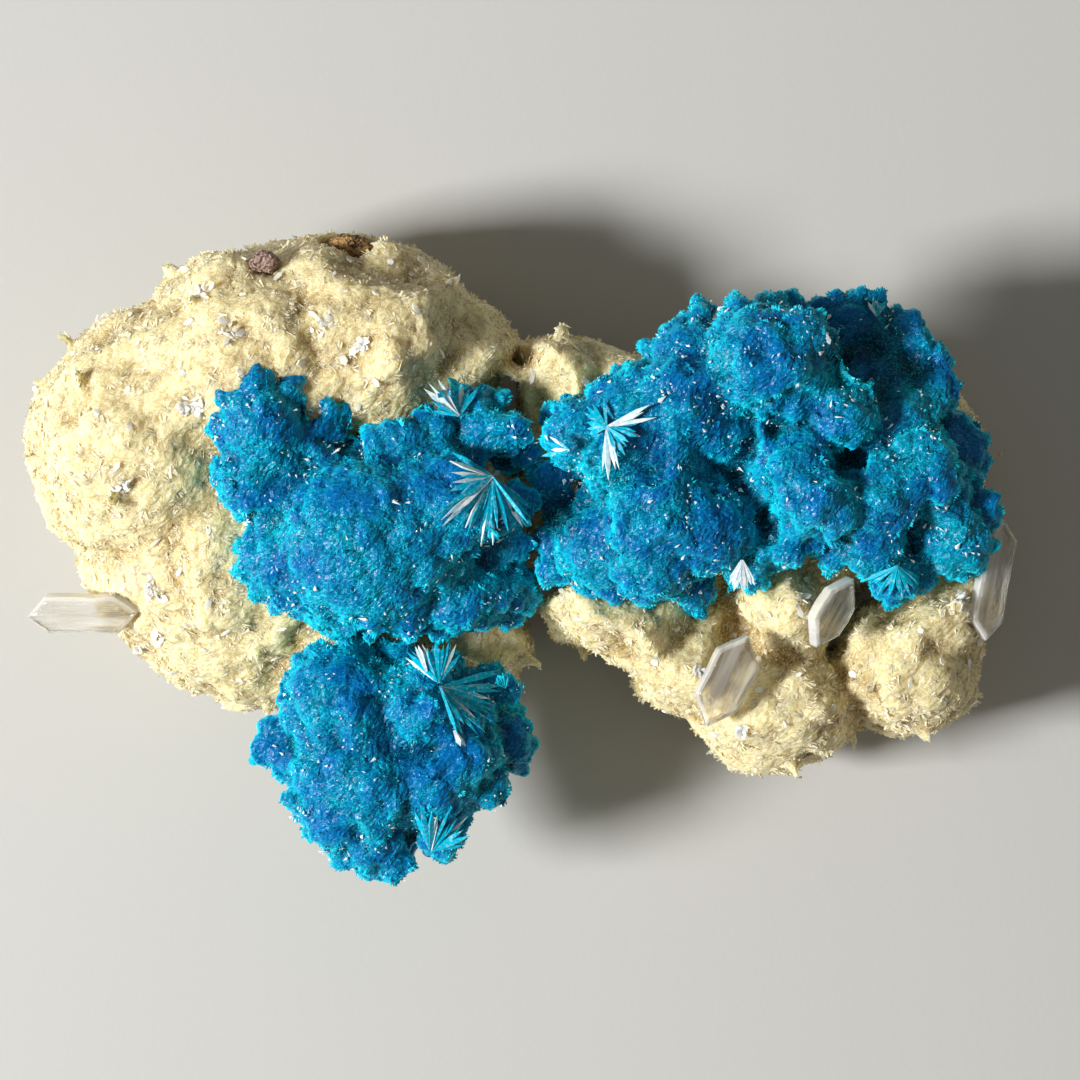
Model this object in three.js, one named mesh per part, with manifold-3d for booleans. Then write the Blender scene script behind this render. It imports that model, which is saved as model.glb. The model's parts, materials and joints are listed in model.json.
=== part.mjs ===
// Cavansite on stilbite: a loose mineral specimen, about 65 mm long, as it lies on a table.
// A cream druse of stilbite carries three blue clusters of cavansite rosettes, four larger
// clear stilbite crystals and two small remnants of the brown basalt that it grew in.
//
// Millimetres, +Z up. X runs along the specimen and Z = 0 is the surface that it rests on.
import * as THREE from 'three';
import { mergeVertices } from 'three/addons/utils/BufferGeometryUtils.js';
import { ImprovedNoise } from 'three/addons/math/ImprovedNoise.js';
import Module from 'manifold-3d';

const wasm = await Module();
wasm.setup();

// ---------------------------------------------------------------- driving dimensions

const GAP = 0.3; // clearance between neighbouring pieces

// The druse: rounded bumps, a rough crust on them, and blades that stand up from it.
const DRUSE_BUMP = { spacing: 3.6, height: 0.9 };
const DRUSE_GRAIN = 1.2; // from the lowest to the highest corner of the crust
const DRUSE_BLADE = { length: 1.1, width: 1.6, thickness: 0.6, root: 0.9 };
const DRUSE_BLADE_SPACING = 7.1;
const DRUSE_BLADE_LEAN = 0.9; // 0 is square to the surface

// The rosettes: needle tips that bristle in and out of a ball, and the longer free sprays,
// in which every second blade is short and rises more steeply.
const ROSETTE_TIPS = 1.2;
const ROSETTE_CORE = 3; // the least that a cluster reaches from its heart
const SPRAY_BLADE = { width: 0.6, thickness: 0.4, root: 0.4 };
const SPRAY_STEP = 9; // degrees that the blades rise above and below the spray's middle
const SPRAY_SHORT = 0.7;
const SPRAY_LONG = 0.85;

// A blade's free end, as parts of its width and thickness, and a tablet's bevel and corners.
const CHISEL = { width: 0.6, thickness: 0.35 };
const TABLET = { bevel: 0.25, shoulder: 0.45, skew: 0.15 };
const BASALT_GRAIN = 0.4;
const TABLE = [120, 120, 20]; // what the underside is cut flat by

// The druse is four masses, each the outside of the rounded lumps that grew together in it.
// A lump is given by its centre and half sizes, and a mass by a point well inside it.
const DRUSE_MASSES = [
  {
    heart: [-16, 4, 7],
    facets: 7,
    lumps: [
      { at: [-24.8, 7.5, 9], size: [8, 9, 9.5] }, // west end
      { at: [-16.9, 12.3, 10], size: [9.2, 8.5, 10] }, // north side
      { at: [-13.4, 16, 9.5], size: [6.2, 5.2, 8.5] }, // with the basalt remnants
      { at: [-9, 13.7, 9.5], size: [6.9, 7, 10] },
      { at: [-2.5, 13.3, 9], size: [2.9, 3.1, 7.5] },
      { at: [-8.6, 11.9, 14.5], size: [3.2, 3.2, 6] }, // a ball on the north side
      { at: [-18.5, 0.8, 7], size: [11.3, 9.3, 9] }, // south-west flank
      { at: [-18, -6, 4.5], size: [7.6, 4.7, 6] }, // its toe
      { at: [-11.8, -4.3, 6], size: [7.5, 4.2, 7.5] },
      { at: [-10.5, -8.6, 6.5], size: [5.6, 3.2, 6.8] }, // seat of the south cluster
      { at: [-2.2, -6, 6], size: [3.9, 2.9, 6.5] },
      { at: [-5.9, 3.5, 8], size: [8.8, 7.4, 9] },
    ],
  },
  {
    heart: [4, 6, 8],
    facets: 3,
    lumps: [
      { at: [3, 11.8, 9.2], size: [3.6, 2.8, 8] },
      { at: [7, 11, 9], size: [2.9, 2.4, 7.5] },
      { at: [3.5, 4.2, 7], size: [5.8, 6.1, 8] },
    ],
  },
  {
    heart: [14.5, 1.5, 7],
    facets: 5,
    lumps: [
      { at: [6.9, -3.8, 9], size: [5.8, 3.2, 8.5] }, // south side
      { at: [11.6, -7.6, 8.5], size: [4.2, 3.6, 8] },
      { at: [17.9, -3.9, 10], size: [3.5, 3.5, 7] },
      { at: [16.4, 3.5, 6.5], size: [10, 8.8, 8] },
      { at: [18.5, 9, 6.5], size: [7.5, 5, 8] },
      { at: [25.8, 5.5, 6.5], size: [6.3, 7.8, 8] },
      { at: [12.3, 9.4, 6.5], size: [5, 4.7, 8] },
    ],
  },
  {
    heart: [21.5, -8, 8],
    facets: 5,
    lumps: [
      { at: [17.4, -10.3, 8], size: [5.8, 4.4, 8] }, // south ball
      { at: [26.2, -7.6, 8], size: [5.2, 4.9, 8] }, // south-east ball
      { at: [29.3, -3.6, 10], size: [2.6, 2.9, 6.5] },
    ],
  },
];

// The balls of needles in each cluster, by centre and radius, and the sprays of longer
// blades that stand free of them: where a spray starts, the bearing of its middle from +X,
// how steeply it rises, the half angle that it fans out through, its length and its blades.
const CLUSTERS = {
  cavansite_west: {
    heart: [-8.5, 2.5, 8],
    facets: 9,
    rosettes: [
      { at: [-16.5, 8.8, 17.5], radius: 3.5 },
      { at: [-16.8, 4.7, 17], radius: 3 },
      { at: [-12.2, 8.5, 16], radius: 1.9 },
      { at: [-14.4, -0.5, 15.5], radius: 4.1 },
      { at: [-9.2, 1.1, 15], radius: 6.9 },
      { at: [-7.9, 6.8, 17], radius: 2.5 },
      { at: [-5.4, 8.1, 17], radius: 1.6 },
      { at: [-3.8, -2.5, 14.5], radius: 3.5 },
      { at: [-0.8, -2.2, 13], radius: 2.5 },
      { at: [-0.9, 7.6, 17.5], radius: 1.8 },
      { at: [-3, 9, 16], radius: 2.1 },
      { at: [-5.1, 3.4, 17.6], radius: 4 },
      { at: [-11.5, -2.5, 13.8], radius: 3.5 },
      { at: [-1.2, 2.1, 16.5], radius: 2.4 },
    ],
    sprays: [
      { from: [-3.6, 8.7, 17.4], bearing: 128, rise: 25, fan: 25, length: 3.4, blades: 3 },
      { from: [-1.8, 4.7, 19], bearing: 256, rise: 28, fan: 56, length: 4.2, blades: 7 },
    ],
  },
  cavansite_east: {
    heart: [17, 5, 8],
    facets: 10,
    rosettes: [
      { at: [5.4, 1.1, 15], radius: 3.5 },
      { at: [9, 2.1, 17], radius: 4.5 },
      { at: [12.2, 1.4, 17.5], radius: 3.3 },
      { at: [6, 7.3, 17.2], radius: 3.4 },
      { at: [9.9, 9.6, 17.8], radius: 3.8 },
      { at: [11.9, 13.2, 16.5], radius: 3 },
      { at: [15.7, 12.4, 18.5], radius: 4 },
      { at: [18.4, 12.6, 19], radius: 3 },
      { at: [16.8, 15.3, 17], radius: 1.7 },
      { at: [13.4, 7.3, 17], radius: 1.9 },
      { at: [21.5, 9.6, 18.5], radius: 2.3 },
      { at: [17.7, 6.3, 18.5], radius: 2.3 },
      { at: [19.3, 3.4, 18.8], radius: 3 },
      { at: [17.8, 0.8, 17.2], radius: 2.1 },
      { at: [22.2, 14.2, 15], radius: 2.9 },
      { at: [25.2, 13.2, 14.5], radius: 2.6 },
      { at: [27.6, 10.4, 14.5], radius: 2.3 },
      { at: [26.7, 5.4, 17], radius: 2.8 },
      { at: [24, 3.4, 17.5], radius: 2.8 },
      { at: [23.1, 0.1, 16.6], radius: 2.5 },
      { at: [25.3, -2, 15.2], radius: 1.8 },
      { at: [28.7, 0.8, 15.5], radius: 2.6 },
      { at: [29.2, 5.4, 13.8], radius: 2.5 },
      { at: [15.3, -1.1, 16], radius: 1.8 },
      { at: [6.8, -1.7, 14.8], radius: 2.8 },
      { at: [11.4, -2.5, 14.2], radius: 2 },
      { at: [2.9, 7.2, 15.8], radius: 1.8 },
      { at: [15.5, 4.4, 15.5], radius: 3 },
      { at: [20.6, 7, 15.5], radius: 2.6 },
      { at: [24.4, 8.4, 15], radius: 3.2 },
    ],
    sprays: [
      { from: [5.6, 7.9, 20], bearing: 300, rise: 22, fan: 75, length: 3.6, blades: 7 },
      { from: [15.4, -0.4, 16.6], bearing: 238, rise: 12, fan: 24, length: 3, blades: 3 },
    ],
  },
  cavansite_south: {
    heart: [-7.5, -13.5, 13.5],
    facets: 5,
    rosettes: [
      { at: [-11.4, -10.1, 15], radius: 4 },
      { at: [-9.8, -15.1, 14], radius: 4.8 },
      { at: [-5.2, -13.8, 14], radius: 4.4 },
      { at: [-14.6, -13.4, 13.5], radius: 2.4 },
      { at: [-9.7, -19.2, 12.5], radius: 2.6 },
      { at: [-5, -18.7, 13.5], radius: 2 },
      { at: [-2.2, -12.5, 12], radius: 3 },
      { at: [-6.3, -10.4, 17.6], radius: 1.9 },
      { at: [-7.9, -7.7, 14.4], radius: 1.8 },
      { at: [-5.2, -8, 15], radius: 2 },
      { at: [-3, -9.8, 14], radius: 2.3 },
    ],
    sprays: [
      { from: [-5.1, -8.6, 16.6], bearing: 92, rise: 30, fan: 28, length: 3, blades: 4 },
      { from: [-5.1, -8.6, 16.6], bearing: 325, rise: 28, fan: 38, length: 4.2, blades: 5 },
      { from: [-5.2, -16.2, 15.4], bearing: 268, rise: 12, fan: 24, length: 3.6, blades: 4 },
    ],
  },
};

// Larger clear stilbite crystals: middle, the way that the length and the broad face point.
const CLEAR_CRYSTALS = {
  stilbite_blade_left: {
    at: [-29.2, -4.1, 10.2], along: [-1, 0, -0.2], face: [-0.1, -0.4, 1],
    length: 7.6, width: 2.7, thickness: 1.3,
  },
  stilbite_blade_front: {
    at: [13.7, -8.4, 16.4], along: [-0.45, -0.85, -0.1], face: [0.1, -0.3, 1],
    length: 6.4, width: 3.2, thickness: 1.3,
  },
  stilbite_blade_shaded: {
    at: [20.6, -3.9, 16.4], along: [0.5, 0.8, -0.1], face: [0.5, -0.4, 0.8],
    length: 5, width: 2.9, thickness: 1.2,
  },
  stilbite_blade_right: {
    at: [31.4, -1.8, 14], along: [0.17, 1, 0.1], face: [0.45, -0.1, 0.9],
    length: 8, width: 2.4, thickness: 1.2,
  },
};

// Remnants of the basalt wall, set in grooves of the druse: centre and half sizes.
const BASALT_CHIPS = {
  basalt_chip_large: { at: [-11.2, 20.2, 13.2], size: [2.1, 0.9, 1.5] },
  basalt_chip_small: { at: [-16.6, 19, 16.4], size: [1.1, 0.7, 1] },
};

// ---------------------------------------------------------------- from geometry to solid

function solidFrom(geometry) {
  const bare = geometry.clone();
  bare.deleteAttribute('normal');
  bare.deleteAttribute('uv');
  const merged = mergeVertices(bare);
  return new wasm.Manifold(new wasm.Mesh({
    numProp: 3,
    vertProperties: Float32Array.from(merged.attributes.position.array),
    triVerts: Uint32Array.from(merged.index.array),
  }));
}

function joined(solids) {
  return solids.reduce((whole, solid) => whole.add(solid));
}

function cutBy(solid, tools) {
  return tools.reduce((rest, tool) => rest.subtract(tool), solid);
}

// The one body that a cut leaves, without the crumbs that it breaks off.
function largestPieceOf(solid) {
  return solid.decompose().reduce((a, b) => (b.volume() > a.volume() ? b : a));
}

function meshOf(name, solid, material) {
  const { vertProperties, triVerts } = solid.getMesh();
  const geometry = new THREE.BufferGeometry();
  geometry.setAttribute('position', new THREE.BufferAttribute(vertProperties, 3));
  geometry.setIndex(new THREE.BufferAttribute(triVerts, 1));
  geometry.computeVertexNormals();
  const mesh = new THREE.Mesh(geometry, material);
  mesh.name = name;
  return mesh;
}

// ---------------------------------------------------------------- masses and rosettes

const bumps = new ImprovedNoise();

// A number from 0 to 1 that belongs to a point in space and is the same on every run.
function chance(x, y, z) {
  const wave = Math.sin(x * 12.9898 + y * 78.233 + z * 37.719) * 43758.5453;
  return wave - Math.floor(wave);
}

function druseRelief({ x, y, z }) {
  const { spacing, height } = DRUSE_BUMP;
  const bump = height * bumps.noise(x / spacing, y / spacing, z / spacing);
  return bump + DRUSE_GRAIN * (chance(x, y, z) - 0.5);
}

function rosetteRelief({ x, y, z }) {
  return ROSETTE_TIPS * (chance(x, y, z) - 0.6);
}

function basaltRelief({ x, y, z }) {
  return BASALT_GRAIN * (chance(x, y, z) - 0.5);
}

// How far a ray from the heart runs before it has left all of the lumps that it meets.
function reachOf(lumps, heart, way, grow) {
  let reach = 0;
  for (const { at, size } of lumps) {
    const half = new THREE.Vector3(...size).addScalar(grow);
    const start = heart.clone().sub(new THREE.Vector3(...at)).divide(half);
    const step = way.clone().divide(half);
    const [a, b, c] = [step.dot(step), start.dot(step), start.dot(start) - 1];
    if (b * b > a * c) reach = Math.max(reach, (Math.sqrt(b * b - a * c) - b) / a);
  }
  return reach;
}

// One closed skin of flat facets round all the lumps, whose corners stand in and out.
function skinOf({ heart, lumps, facets, core = 0 }, relief, grow = 0) {
  const geometry = new THREE.IcosahedronGeometry(1, facets);
  geometry.deleteAttribute('normal');
  geometry.deleteAttribute('uv');
  const skin = mergeVertices(geometry);
  const corners = skin.attributes.position;
  const middle = new THREE.Vector3(...heart);
  for (let i = 0; i < corners.count; i += 1) {
    const way = new THREE.Vector3().fromBufferAttribute(corners, i).normalize();
    const bare = middle.clone().addScaledVector(way, reachOf(lumps, middle, way, 0));
    const reach = Math.max(reachOf(lumps, middle, way, grow), core) + relief(bare);
    const corner = middle.clone().addScaledVector(way, reach);
    corners.setXYZ(i, corner.x, corner.y, corner.z);
  }
  return solidFrom(skin);
}

function rosetteLumps({ rosettes }) {
  return rosettes.map(({ at, radius }) => ({ at, size: [radius, radius, radius] }));
}

function clusterSkin(cluster, grow) {
  return skinOf(
    { ...cluster, lumps: rosetteLumps(cluster), core: ROSETTE_CORE },
    rosetteRelief,
    grow,
  );
}

function basaltChip({ at, size }, grow) {
  return skinOf({ heart: at, lumps: [{ at, size }], facets: 1 }, basaltRelief, grow);
}

// ---------------------------------------------------------------- blades and tablets

// A flat blade standing on the origin along +Z, with its free end drawn in to a chisel edge.
function bladeGeometry({ length, width, thickness, root }) {
  const geometry = new THREE.BoxGeometry(width, thickness, length + root);
  const corners = geometry.attributes.position;
  for (let i = 0; i < corners.count; i += 1) {
    if (corners.getZ(i) > 0) {
      corners.setX(i, corners.getX(i) * CHISEL.width);
      corners.setY(i, corners.getY(i) * CHISEL.thickness);
    }
  }
  return geometry.translate(0, 0, (length - root) / 2);
}

// Stands a blade up at a foot, along one way, with its edge turned towards a side.
function standing(size, foot, along, side) {
  const across = new THREE.Vector3().crossVectors(along, side).normalize();
  const turn = new THREE.Matrix4().makeBasis(across, along.clone().cross(across), along);
  return solidFrom(bladeGeometry(size).applyMatrix4(turn.setPosition(foot)));
}

// A clear crystal: a six-sided tablet, bevelled all round, with its length and face turned.
function clearCrystal({ at, along, face, length, width, thickness }, grow = 0) {
  const { bevel } = TABLET;
  const x = length / 2 - bevel + grow;
  const y = width / 2 - bevel + grow;
  const shoulder = x - width * TABLET.shoulder;
  const skew = y * TABLET.skew;
  const outline = new THREE.Shape([
    new THREE.Vector2(x, skew),
    new THREE.Vector2(shoulder, y),
    new THREE.Vector2(-shoulder, y),
    new THREE.Vector2(-x, -skew),
    new THREE.Vector2(-shoulder, -y),
    new THREE.Vector2(shoulder, -y),
  ]);
  const depth = thickness - 2 * bevel + 2 * grow;
  const geometry = new THREE.ExtrudeGeometry(outline, {
    depth, bevelThickness: bevel, bevelSize: bevel, bevelSegments: 1,
  });
  geometry.translate(0, 0, -depth / 2);
  const ahead = new THREE.Vector3(...along).normalize();
  const across = new THREE.Vector3(...face).cross(ahead).normalize();
  const turn = new THREE.Matrix4().makeBasis(ahead, across, ahead.clone().cross(across));
  return solidFrom(geometry.applyMatrix4(turn.setPosition(...at)));
}

// ---------------------------------------------------------------- the druse's own blades

const LUMPS = DRUSE_MASSES.flatMap(({ lumps }) => lumps);
const ROSETTES = Object.values(CLUSTERS).flatMap(rosetteLumps);
const SPRAYS = Object.values(CLUSTERS).flatMap(({ sprays }) => sprays);
const INSETS = [...Object.values(CLEAR_CRYSTALS), ...Object.values(BASALT_CHIPS)];

function isInside({ at, size }, point, margin) {
  const half = new THREE.Vector3(...size).addScalar(margin);
  return point.clone().sub(new THREE.Vector3(...at)).divide(half).length() < 1;
}

function isBeyond(distance, place, point) {
  return point.distanceTo(new THREE.Vector3(...place)) > distance;
}

// A blade has room where the druse's outside is clear of the table and the other pieces.
function hasRoom(foot, lump) {
  const reach = DRUSE_BLADE.length + DRUSE_BLADE.width;
  return foot.z > reach
    && LUMPS.every((other) => other === lump || !isInside(other, foot, 0.2))
    && ROSETTES.every((ball) => !isInside(ball, foot, reach))
    && SPRAYS.every(({ from, length }) => isBeyond(length + reach, from, foot))
    && INSETS.every(({ at, length = 3 }) => isBeyond(length / 2 + reach, at, foot));
}

// Feet are spread evenly over a lump by the golden angle, and each blade leans its own way.
function bladesOn(lump) {
  const half = new THREE.Vector3(...lump.size);
  const area = 4 * Math.PI * ((half.x + half.y + half.z) / 3) ** 2;
  const count = Math.round(area / DRUSE_BLADE_SPACING ** 2);
  const goldenAngle = Math.PI * (3 - Math.sqrt(5));
  const blades = [];
  for (let i = 0; i < count; i += 1) {
    const outward = new THREE.Vector3().setFromSphericalCoords(
      1, Math.acos(1 - (2 * i + 1) / count), i * goldenAngle,
    );
    const foot = outward.clone().multiply(half).add(new THREE.Vector3(...lump.at));
    if (hasRoom(foot, lump)) {
      const lean = new THREE.Vector3(
        chance(foot.x, foot.y, 1) - 0.5,
        chance(foot.x, foot.y, 2) - 0.5,
        chance(foot.x, foot.y, 3) - 0.5,
      );
      const along = outward.divide(half).normalize();
      along.addScaledVector(lean, DRUSE_BLADE_LEAN).normalize();
      blades.push(standing(DRUSE_BLADE, foot, along, lean));
    }
  }
  return blades;
}

// ---------------------------------------------------------------- the free sprays

function bladesOf({ from, bearing, rise, fan, length, blades }) {
  const foot = new THREE.Vector3(...from);
  return Array.from({ length: blades }, (_, i) => {
    const isShort = i % 2 === 1;
    const turned = THREE.MathUtils.degToRad(bearing + fan * ((2 * i) / (blades - 1) - 1));
    const climb = THREE.MathUtils.degToRad(rise + (isShort ? SPRAY_STEP : -SPRAY_STEP));
    const along = new THREE.Vector3(
      Math.cos(turned) * Math.cos(climb), Math.sin(turned) * Math.cos(climb), Math.sin(climb),
    );
    const size = { ...SPRAY_BLADE, length: length * (isShort ? SPRAY_SHORT : SPRAY_LONG) };
    const stem = length * (1 - SPRAY_LONG) + SPRAY_BLADE.root;
    const start = foot.clone().addScaledVector(along, stem);
    return standing(size, start, along, new THREE.Vector3(0, 0, 1));
  });
}

// ---------------------------------------------------------------- the specimen

const STONES = {
  stilbite: { color: 0xe3d3a8, roughness: 0.45, metalness: 0 },
  clearStilbite: { color: 0xe4e8ea, roughness: 0.15, metalness: 0 },
  cavansite: { color: 0x0a6db4, roughness: 0.4, metalness: 0 },
  basalt: { color: 0x4b3a2e, roughness: 0.9, metalness: 0 },
};

function finish(stone) {
  return new THREE.MeshStandardMaterial(STONES[stone]);
}

const specimen = new THREE.Group();

// The druse stands on the table, and the clear crystals and the basalt sit in it.
const crystalRoom = Object.values(CLEAR_CRYSTALS).map((crystal) => clearCrystal(crystal, GAP));
const basaltRoom = Object.values(BASALT_CHIPS).map((chip) => basaltChip(chip, GAP));
const table = solidFrom(new THREE.BoxGeometry(...TABLE).translate(0, 0, -TABLE[2] / 2));
const druse = cutBy(
  joined([...DRUSE_MASSES.map((mass) => skinOf(mass, druseRelief)), ...LUMPS.flatMap(bladesOn)]),
  [table, ...crystalRoom, ...basaltRoom],
);
specimen.add(meshOf('stilbite_matrix', largestPieceOf(druse), finish('stilbite')));

// Each cluster is cut to fit over the druse and to clear the clusters after it.
const druseRoom = DRUSE_MASSES.map((mass) => skinOf(mass, druseRelief, GAP));
const names = Object.keys(CLUSTERS);
names.forEach((name, i) => {
  const { sprays } = CLUSTERS[name];
  const grown = joined([clusterSkin(CLUSTERS[name]), ...sprays.flatMap(bladesOf)]);
  const others = names.slice(i + 1).map((other) => clusterSkin(CLUSTERS[other], GAP));
  const fitted = cutBy(grown, [...druseRoom, ...crystalRoom, ...others]);
  specimen.add(meshOf(name, largestPieceOf(fitted), finish('cavansite')));
});

for (const [name, crystal] of Object.entries(CLEAR_CRYSTALS)) {
  specimen.add(meshOf(name, clearCrystal(crystal), finish('clearStilbite')));
}
for (const [name, chip] of Object.entries(BASALT_CHIPS)) {
  specimen.add(meshOf(name, basaltChip(chip, 0), finish('basalt')));
}

// The origin is the middle of the footprint.
const middle = new THREE.Box3().setFromObject(specimen).getCenter(new THREE.Vector3());
specimen.position.set(-middle.x, -middle.y, 0);

export default specimen;
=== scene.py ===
"""Cavansite on stilbite: the finished look of the specimen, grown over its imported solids.

Metres, +Z up, the table at Z = 0. Each section makes one kind of mineral.
"""
import json
import math

import bpy
import numpy as np
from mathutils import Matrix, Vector
from mathutils.bvhtree import BVHTree

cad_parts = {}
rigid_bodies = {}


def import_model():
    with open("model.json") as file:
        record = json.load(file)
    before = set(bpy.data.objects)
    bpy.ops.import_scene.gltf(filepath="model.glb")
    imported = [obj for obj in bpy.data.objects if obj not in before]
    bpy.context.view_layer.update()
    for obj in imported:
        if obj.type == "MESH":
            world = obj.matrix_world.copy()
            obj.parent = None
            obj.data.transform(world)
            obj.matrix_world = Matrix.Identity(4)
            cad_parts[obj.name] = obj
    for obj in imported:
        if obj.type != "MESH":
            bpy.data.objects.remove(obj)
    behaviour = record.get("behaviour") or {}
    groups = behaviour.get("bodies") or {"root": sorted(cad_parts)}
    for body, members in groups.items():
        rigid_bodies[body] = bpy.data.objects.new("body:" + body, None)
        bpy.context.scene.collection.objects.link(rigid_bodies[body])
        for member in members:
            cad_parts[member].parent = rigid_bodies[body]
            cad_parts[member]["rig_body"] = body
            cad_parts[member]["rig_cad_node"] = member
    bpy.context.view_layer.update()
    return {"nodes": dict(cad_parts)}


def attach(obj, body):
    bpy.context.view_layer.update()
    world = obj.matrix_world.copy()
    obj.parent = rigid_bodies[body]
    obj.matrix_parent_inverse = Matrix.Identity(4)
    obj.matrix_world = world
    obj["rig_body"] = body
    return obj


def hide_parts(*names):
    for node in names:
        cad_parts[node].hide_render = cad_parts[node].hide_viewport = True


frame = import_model()
MM = 0.001


# ---------------------------------------------------------------- table, lights and camera
# The specimen lies on a wide sheet of matt pale paper. A soft lamp stands low to its left,
# a weak pale sky fills the shadows, and the camera hangs straight above.
TABLE_SIZE = 1.6
PAPER = "#bdbcb8"
PAPER_FIBRE = 0.4 * MM
LAMP_SIZE = 0.13
LAMP_DISTANCE = 0.6
LAMP_BEARING = math.radians(190)
LAMP_HEIGHT = math.radians(41)
LAMP_POWER = 5.7
SKY = "#f5f1e8"
SKY_STRENGTH = 0.22
CAMERA_AT = (1.6 * MM, 1.1 * MM, 0.3)
CAMERA_LENS = 144.0
CAMERA_NEAR = 10 * MM


def linear(hex_colour):
    """The linear colour of an sRGB hex value."""
    parts = [int(hex_colour[i : i + 2], 16) / 255 for i in (1, 3, 5)]
    return [p / 12.92 if p <= 0.04045 else ((p + 0.055) / 1.055) ** 2.4 for p in parts] + [1.0]


def add_node(tree, kind, sockets, **settings):
    """Adds one node: a socket takes a value or another node's output, a setting a value."""
    node = tree.nodes.new(kind)
    for name, value in settings.items():
        setattr(node, name, value)
    for name, value in sockets.items():
        if isinstance(value, bpy.types.NodeSocket):
            tree.links.new(value, node.inputs[name])
        else:
            node.inputs[name].default_value = value
    return node


def new_material(name):
    """An empty material with its node tree and its output."""
    material = bpy.data.materials.new(name)
    material.use_nodes = True
    material.node_tree.nodes.clear()
    return material, material.node_tree


paper, tree = new_material("matt_paper")
place = add_node(tree, "ShaderNodeTexCoord", {})
fibres = add_node(tree, "ShaderNodeTexNoise",
                  {"Vector": place.outputs["Object"], "Scale": 1 / PAPER_FIBRE, "Detail": 2.0})
relief = add_node(tree, "ShaderNodeBump", {"Height": fibres.outputs["Fac"], "Strength": 0.15,
                                           "Distance": 0.05 * MM})
shader = add_node(tree, "ShaderNodeBsdfPrincipled",
                  {"Base Color": linear(PAPER), "Roughness": 0.9, "Normal": relief.outputs[0]})
add_node(tree, "ShaderNodeOutputMaterial", {"Surface": shader.outputs[0]})

bpy.ops.object.select_all(action="DESELECT")
bpy.ops.mesh.primitive_plane_add(size=TABLE_SIZE)
table = bpy.context.object
table.name = "table"
table.data.materials.append(paper)

towards_lamp = Vector((math.cos(LAMP_HEIGHT) * math.cos(LAMP_BEARING),
                       math.cos(LAMP_HEIGHT) * math.sin(LAMP_BEARING), math.sin(LAMP_HEIGHT)))
bpy.ops.object.light_add(type="AREA", location=towards_lamp * LAMP_DISTANCE,
                         rotation=towards_lamp.to_track_quat("Z", "Y").to_euler())
lamp = bpy.context.object.data
lamp.size = LAMP_SIZE
lamp.energy = LAMP_POWER

world = bpy.data.worlds.new("pale_sky")
world.use_nodes = True
world.node_tree.nodes["Background"].inputs["Color"].default_value = linear(SKY)
world.node_tree.nodes["Background"].inputs["Strength"].default_value = SKY_STRENGTH
bpy.context.scene.world = world
bpy.context.scene.view_settings.view_transform = "Standard"

bpy.ops.object.camera_add(location=CAMERA_AT, rotation=(0, 0, 0))
camera = bpy.context.object
camera.data.lens = CAMERA_LENS
camera.data.clip_start = CAMERA_NEAR
bpy.context.scene.camera = camera


# ---------------------------------------------------------------- stilbite druse
# The matrix is a crust of stilbite: sheaves of thin cream slivers that grew side by side on
# rounded mounds. Its heart is one lumpy mass, and the sheaves lie all over it at a slant.
DRUSE_NODE = "stilbite_matrix"
CLUSTERS = ("cavansite_west", "cavansite_east", "cavansite_south")
DRUSE_VOXEL = 0.33 * MM
MOUND = {"spacing": 2.4 * MM, "height": 0.14 * MM}
DRUSE_KNOBS = {"spacing": 1.0 * MM, "height": 0.06 * MM}
DRUSE_GRAIN = 0.07 * MM
CREASE_ROUNDS = 8
VALLEY_ROUNDS = 80
CREASE_SHARE = 0.8
VALLEY_LESS = 0.15
TRIES_PER_SPOT = 5
COVER_DEPTH = 0.3 * MM
TABLE_CLEARANCE = 0.25 * MM
HIGH_ABOVE = 1.0
DOWN = Vector((0, 0, -1))
SHEAF_SPACING = 0.46 * MM
SHEAF_SLIVERS = 3
SHEAF_SHARE_ABOVE = 0.42
SHEAF_FAN = math.radians(24)
SHEAF_UNEVENNESS = 0.15
SLIVER_TWIST = 0.4
SHEAF_LEAN_ABOVE = (2.5, 5.0)
SHEAF_LEAN_BESIDE = (0.4, 1.8)
SLIVER = {"length": 0.62 * MM, "width": 0.2 * MM, "thickness": 0.1 * MM, "sunk": 0.36 * MM}
SLIVER_STEP = 0.14 * MM
UNDERSIDE_SHARE = 0.4
CRUST_PARTS = {"west": (-1.0, -9 * MM), "middle": (-9 * MM, 11 * MM), "east": (11 * MM, 1.0)}
PLATE_SPACING = 2.4 * MM
PLATE = {"length": 0.75 * MM, "width": 0.36 * MM, "thickness": 0.1 * MM}
PLATE_PROUD = 0.08 * MM
PLATE_SUNK_SHARE = 0.45
PLATES_ABOVE = 1.5 * MM
PLATE_LEAN = (1.2, 5.0)
# The white is a painted highlight on the slivers' edges. The honey is partly painted shade in hollows
# and valleys.
STILBITE_HIGHLIGHT_WHITE = "#fff4d6"
STILBITE_CREAM = "#eadaa6"
STILBITE_HONEY_AND_SHADE = "#aa8e50"
STILBITE_STAIN = "#7a5424"
PLATE_CREAM = "#eee4c8"
PLATE_WHITE = "#fffdf4"
# A clump of larger plates is given by its place seen from above and its radius, in millimetres.
CLUMPS = [
    (-18.7, 14.1, 0.8), (-12.7, 15.2, 0.7), (-18.3, 2.8, 0.6), (12.0, -7.5, 0.2), (15.0, -11.4, 0.2),
    (18.9, -2.6, 0.7), (29.5, -2.9, 0.7), (-25.8, 4.5, 0.5), (-21.6, 9.7, 0.6), (-24.4, -2.0, 0.4),
    (-23.5, -2.5, 0.5), (-25.6, -6.3, 0.4), (-23.9, -5.2, 0.4), (-20.7, 17.3, 0.5),
    (-20.6, 9.9, 0.5), (-16.1, 19.0, 0.6), (-9.6, 21.8, 0.7), (-10.0, 13.7, 0.5)]
CLUMP_PLATES = 10
CLUMP_SPREAD = 0.45


def select_only(piece):
    bpy.ops.object.select_all(action="DESELECT")
    piece.select_set(True)
    bpy.context.view_layer.objects.active = piece


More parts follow.
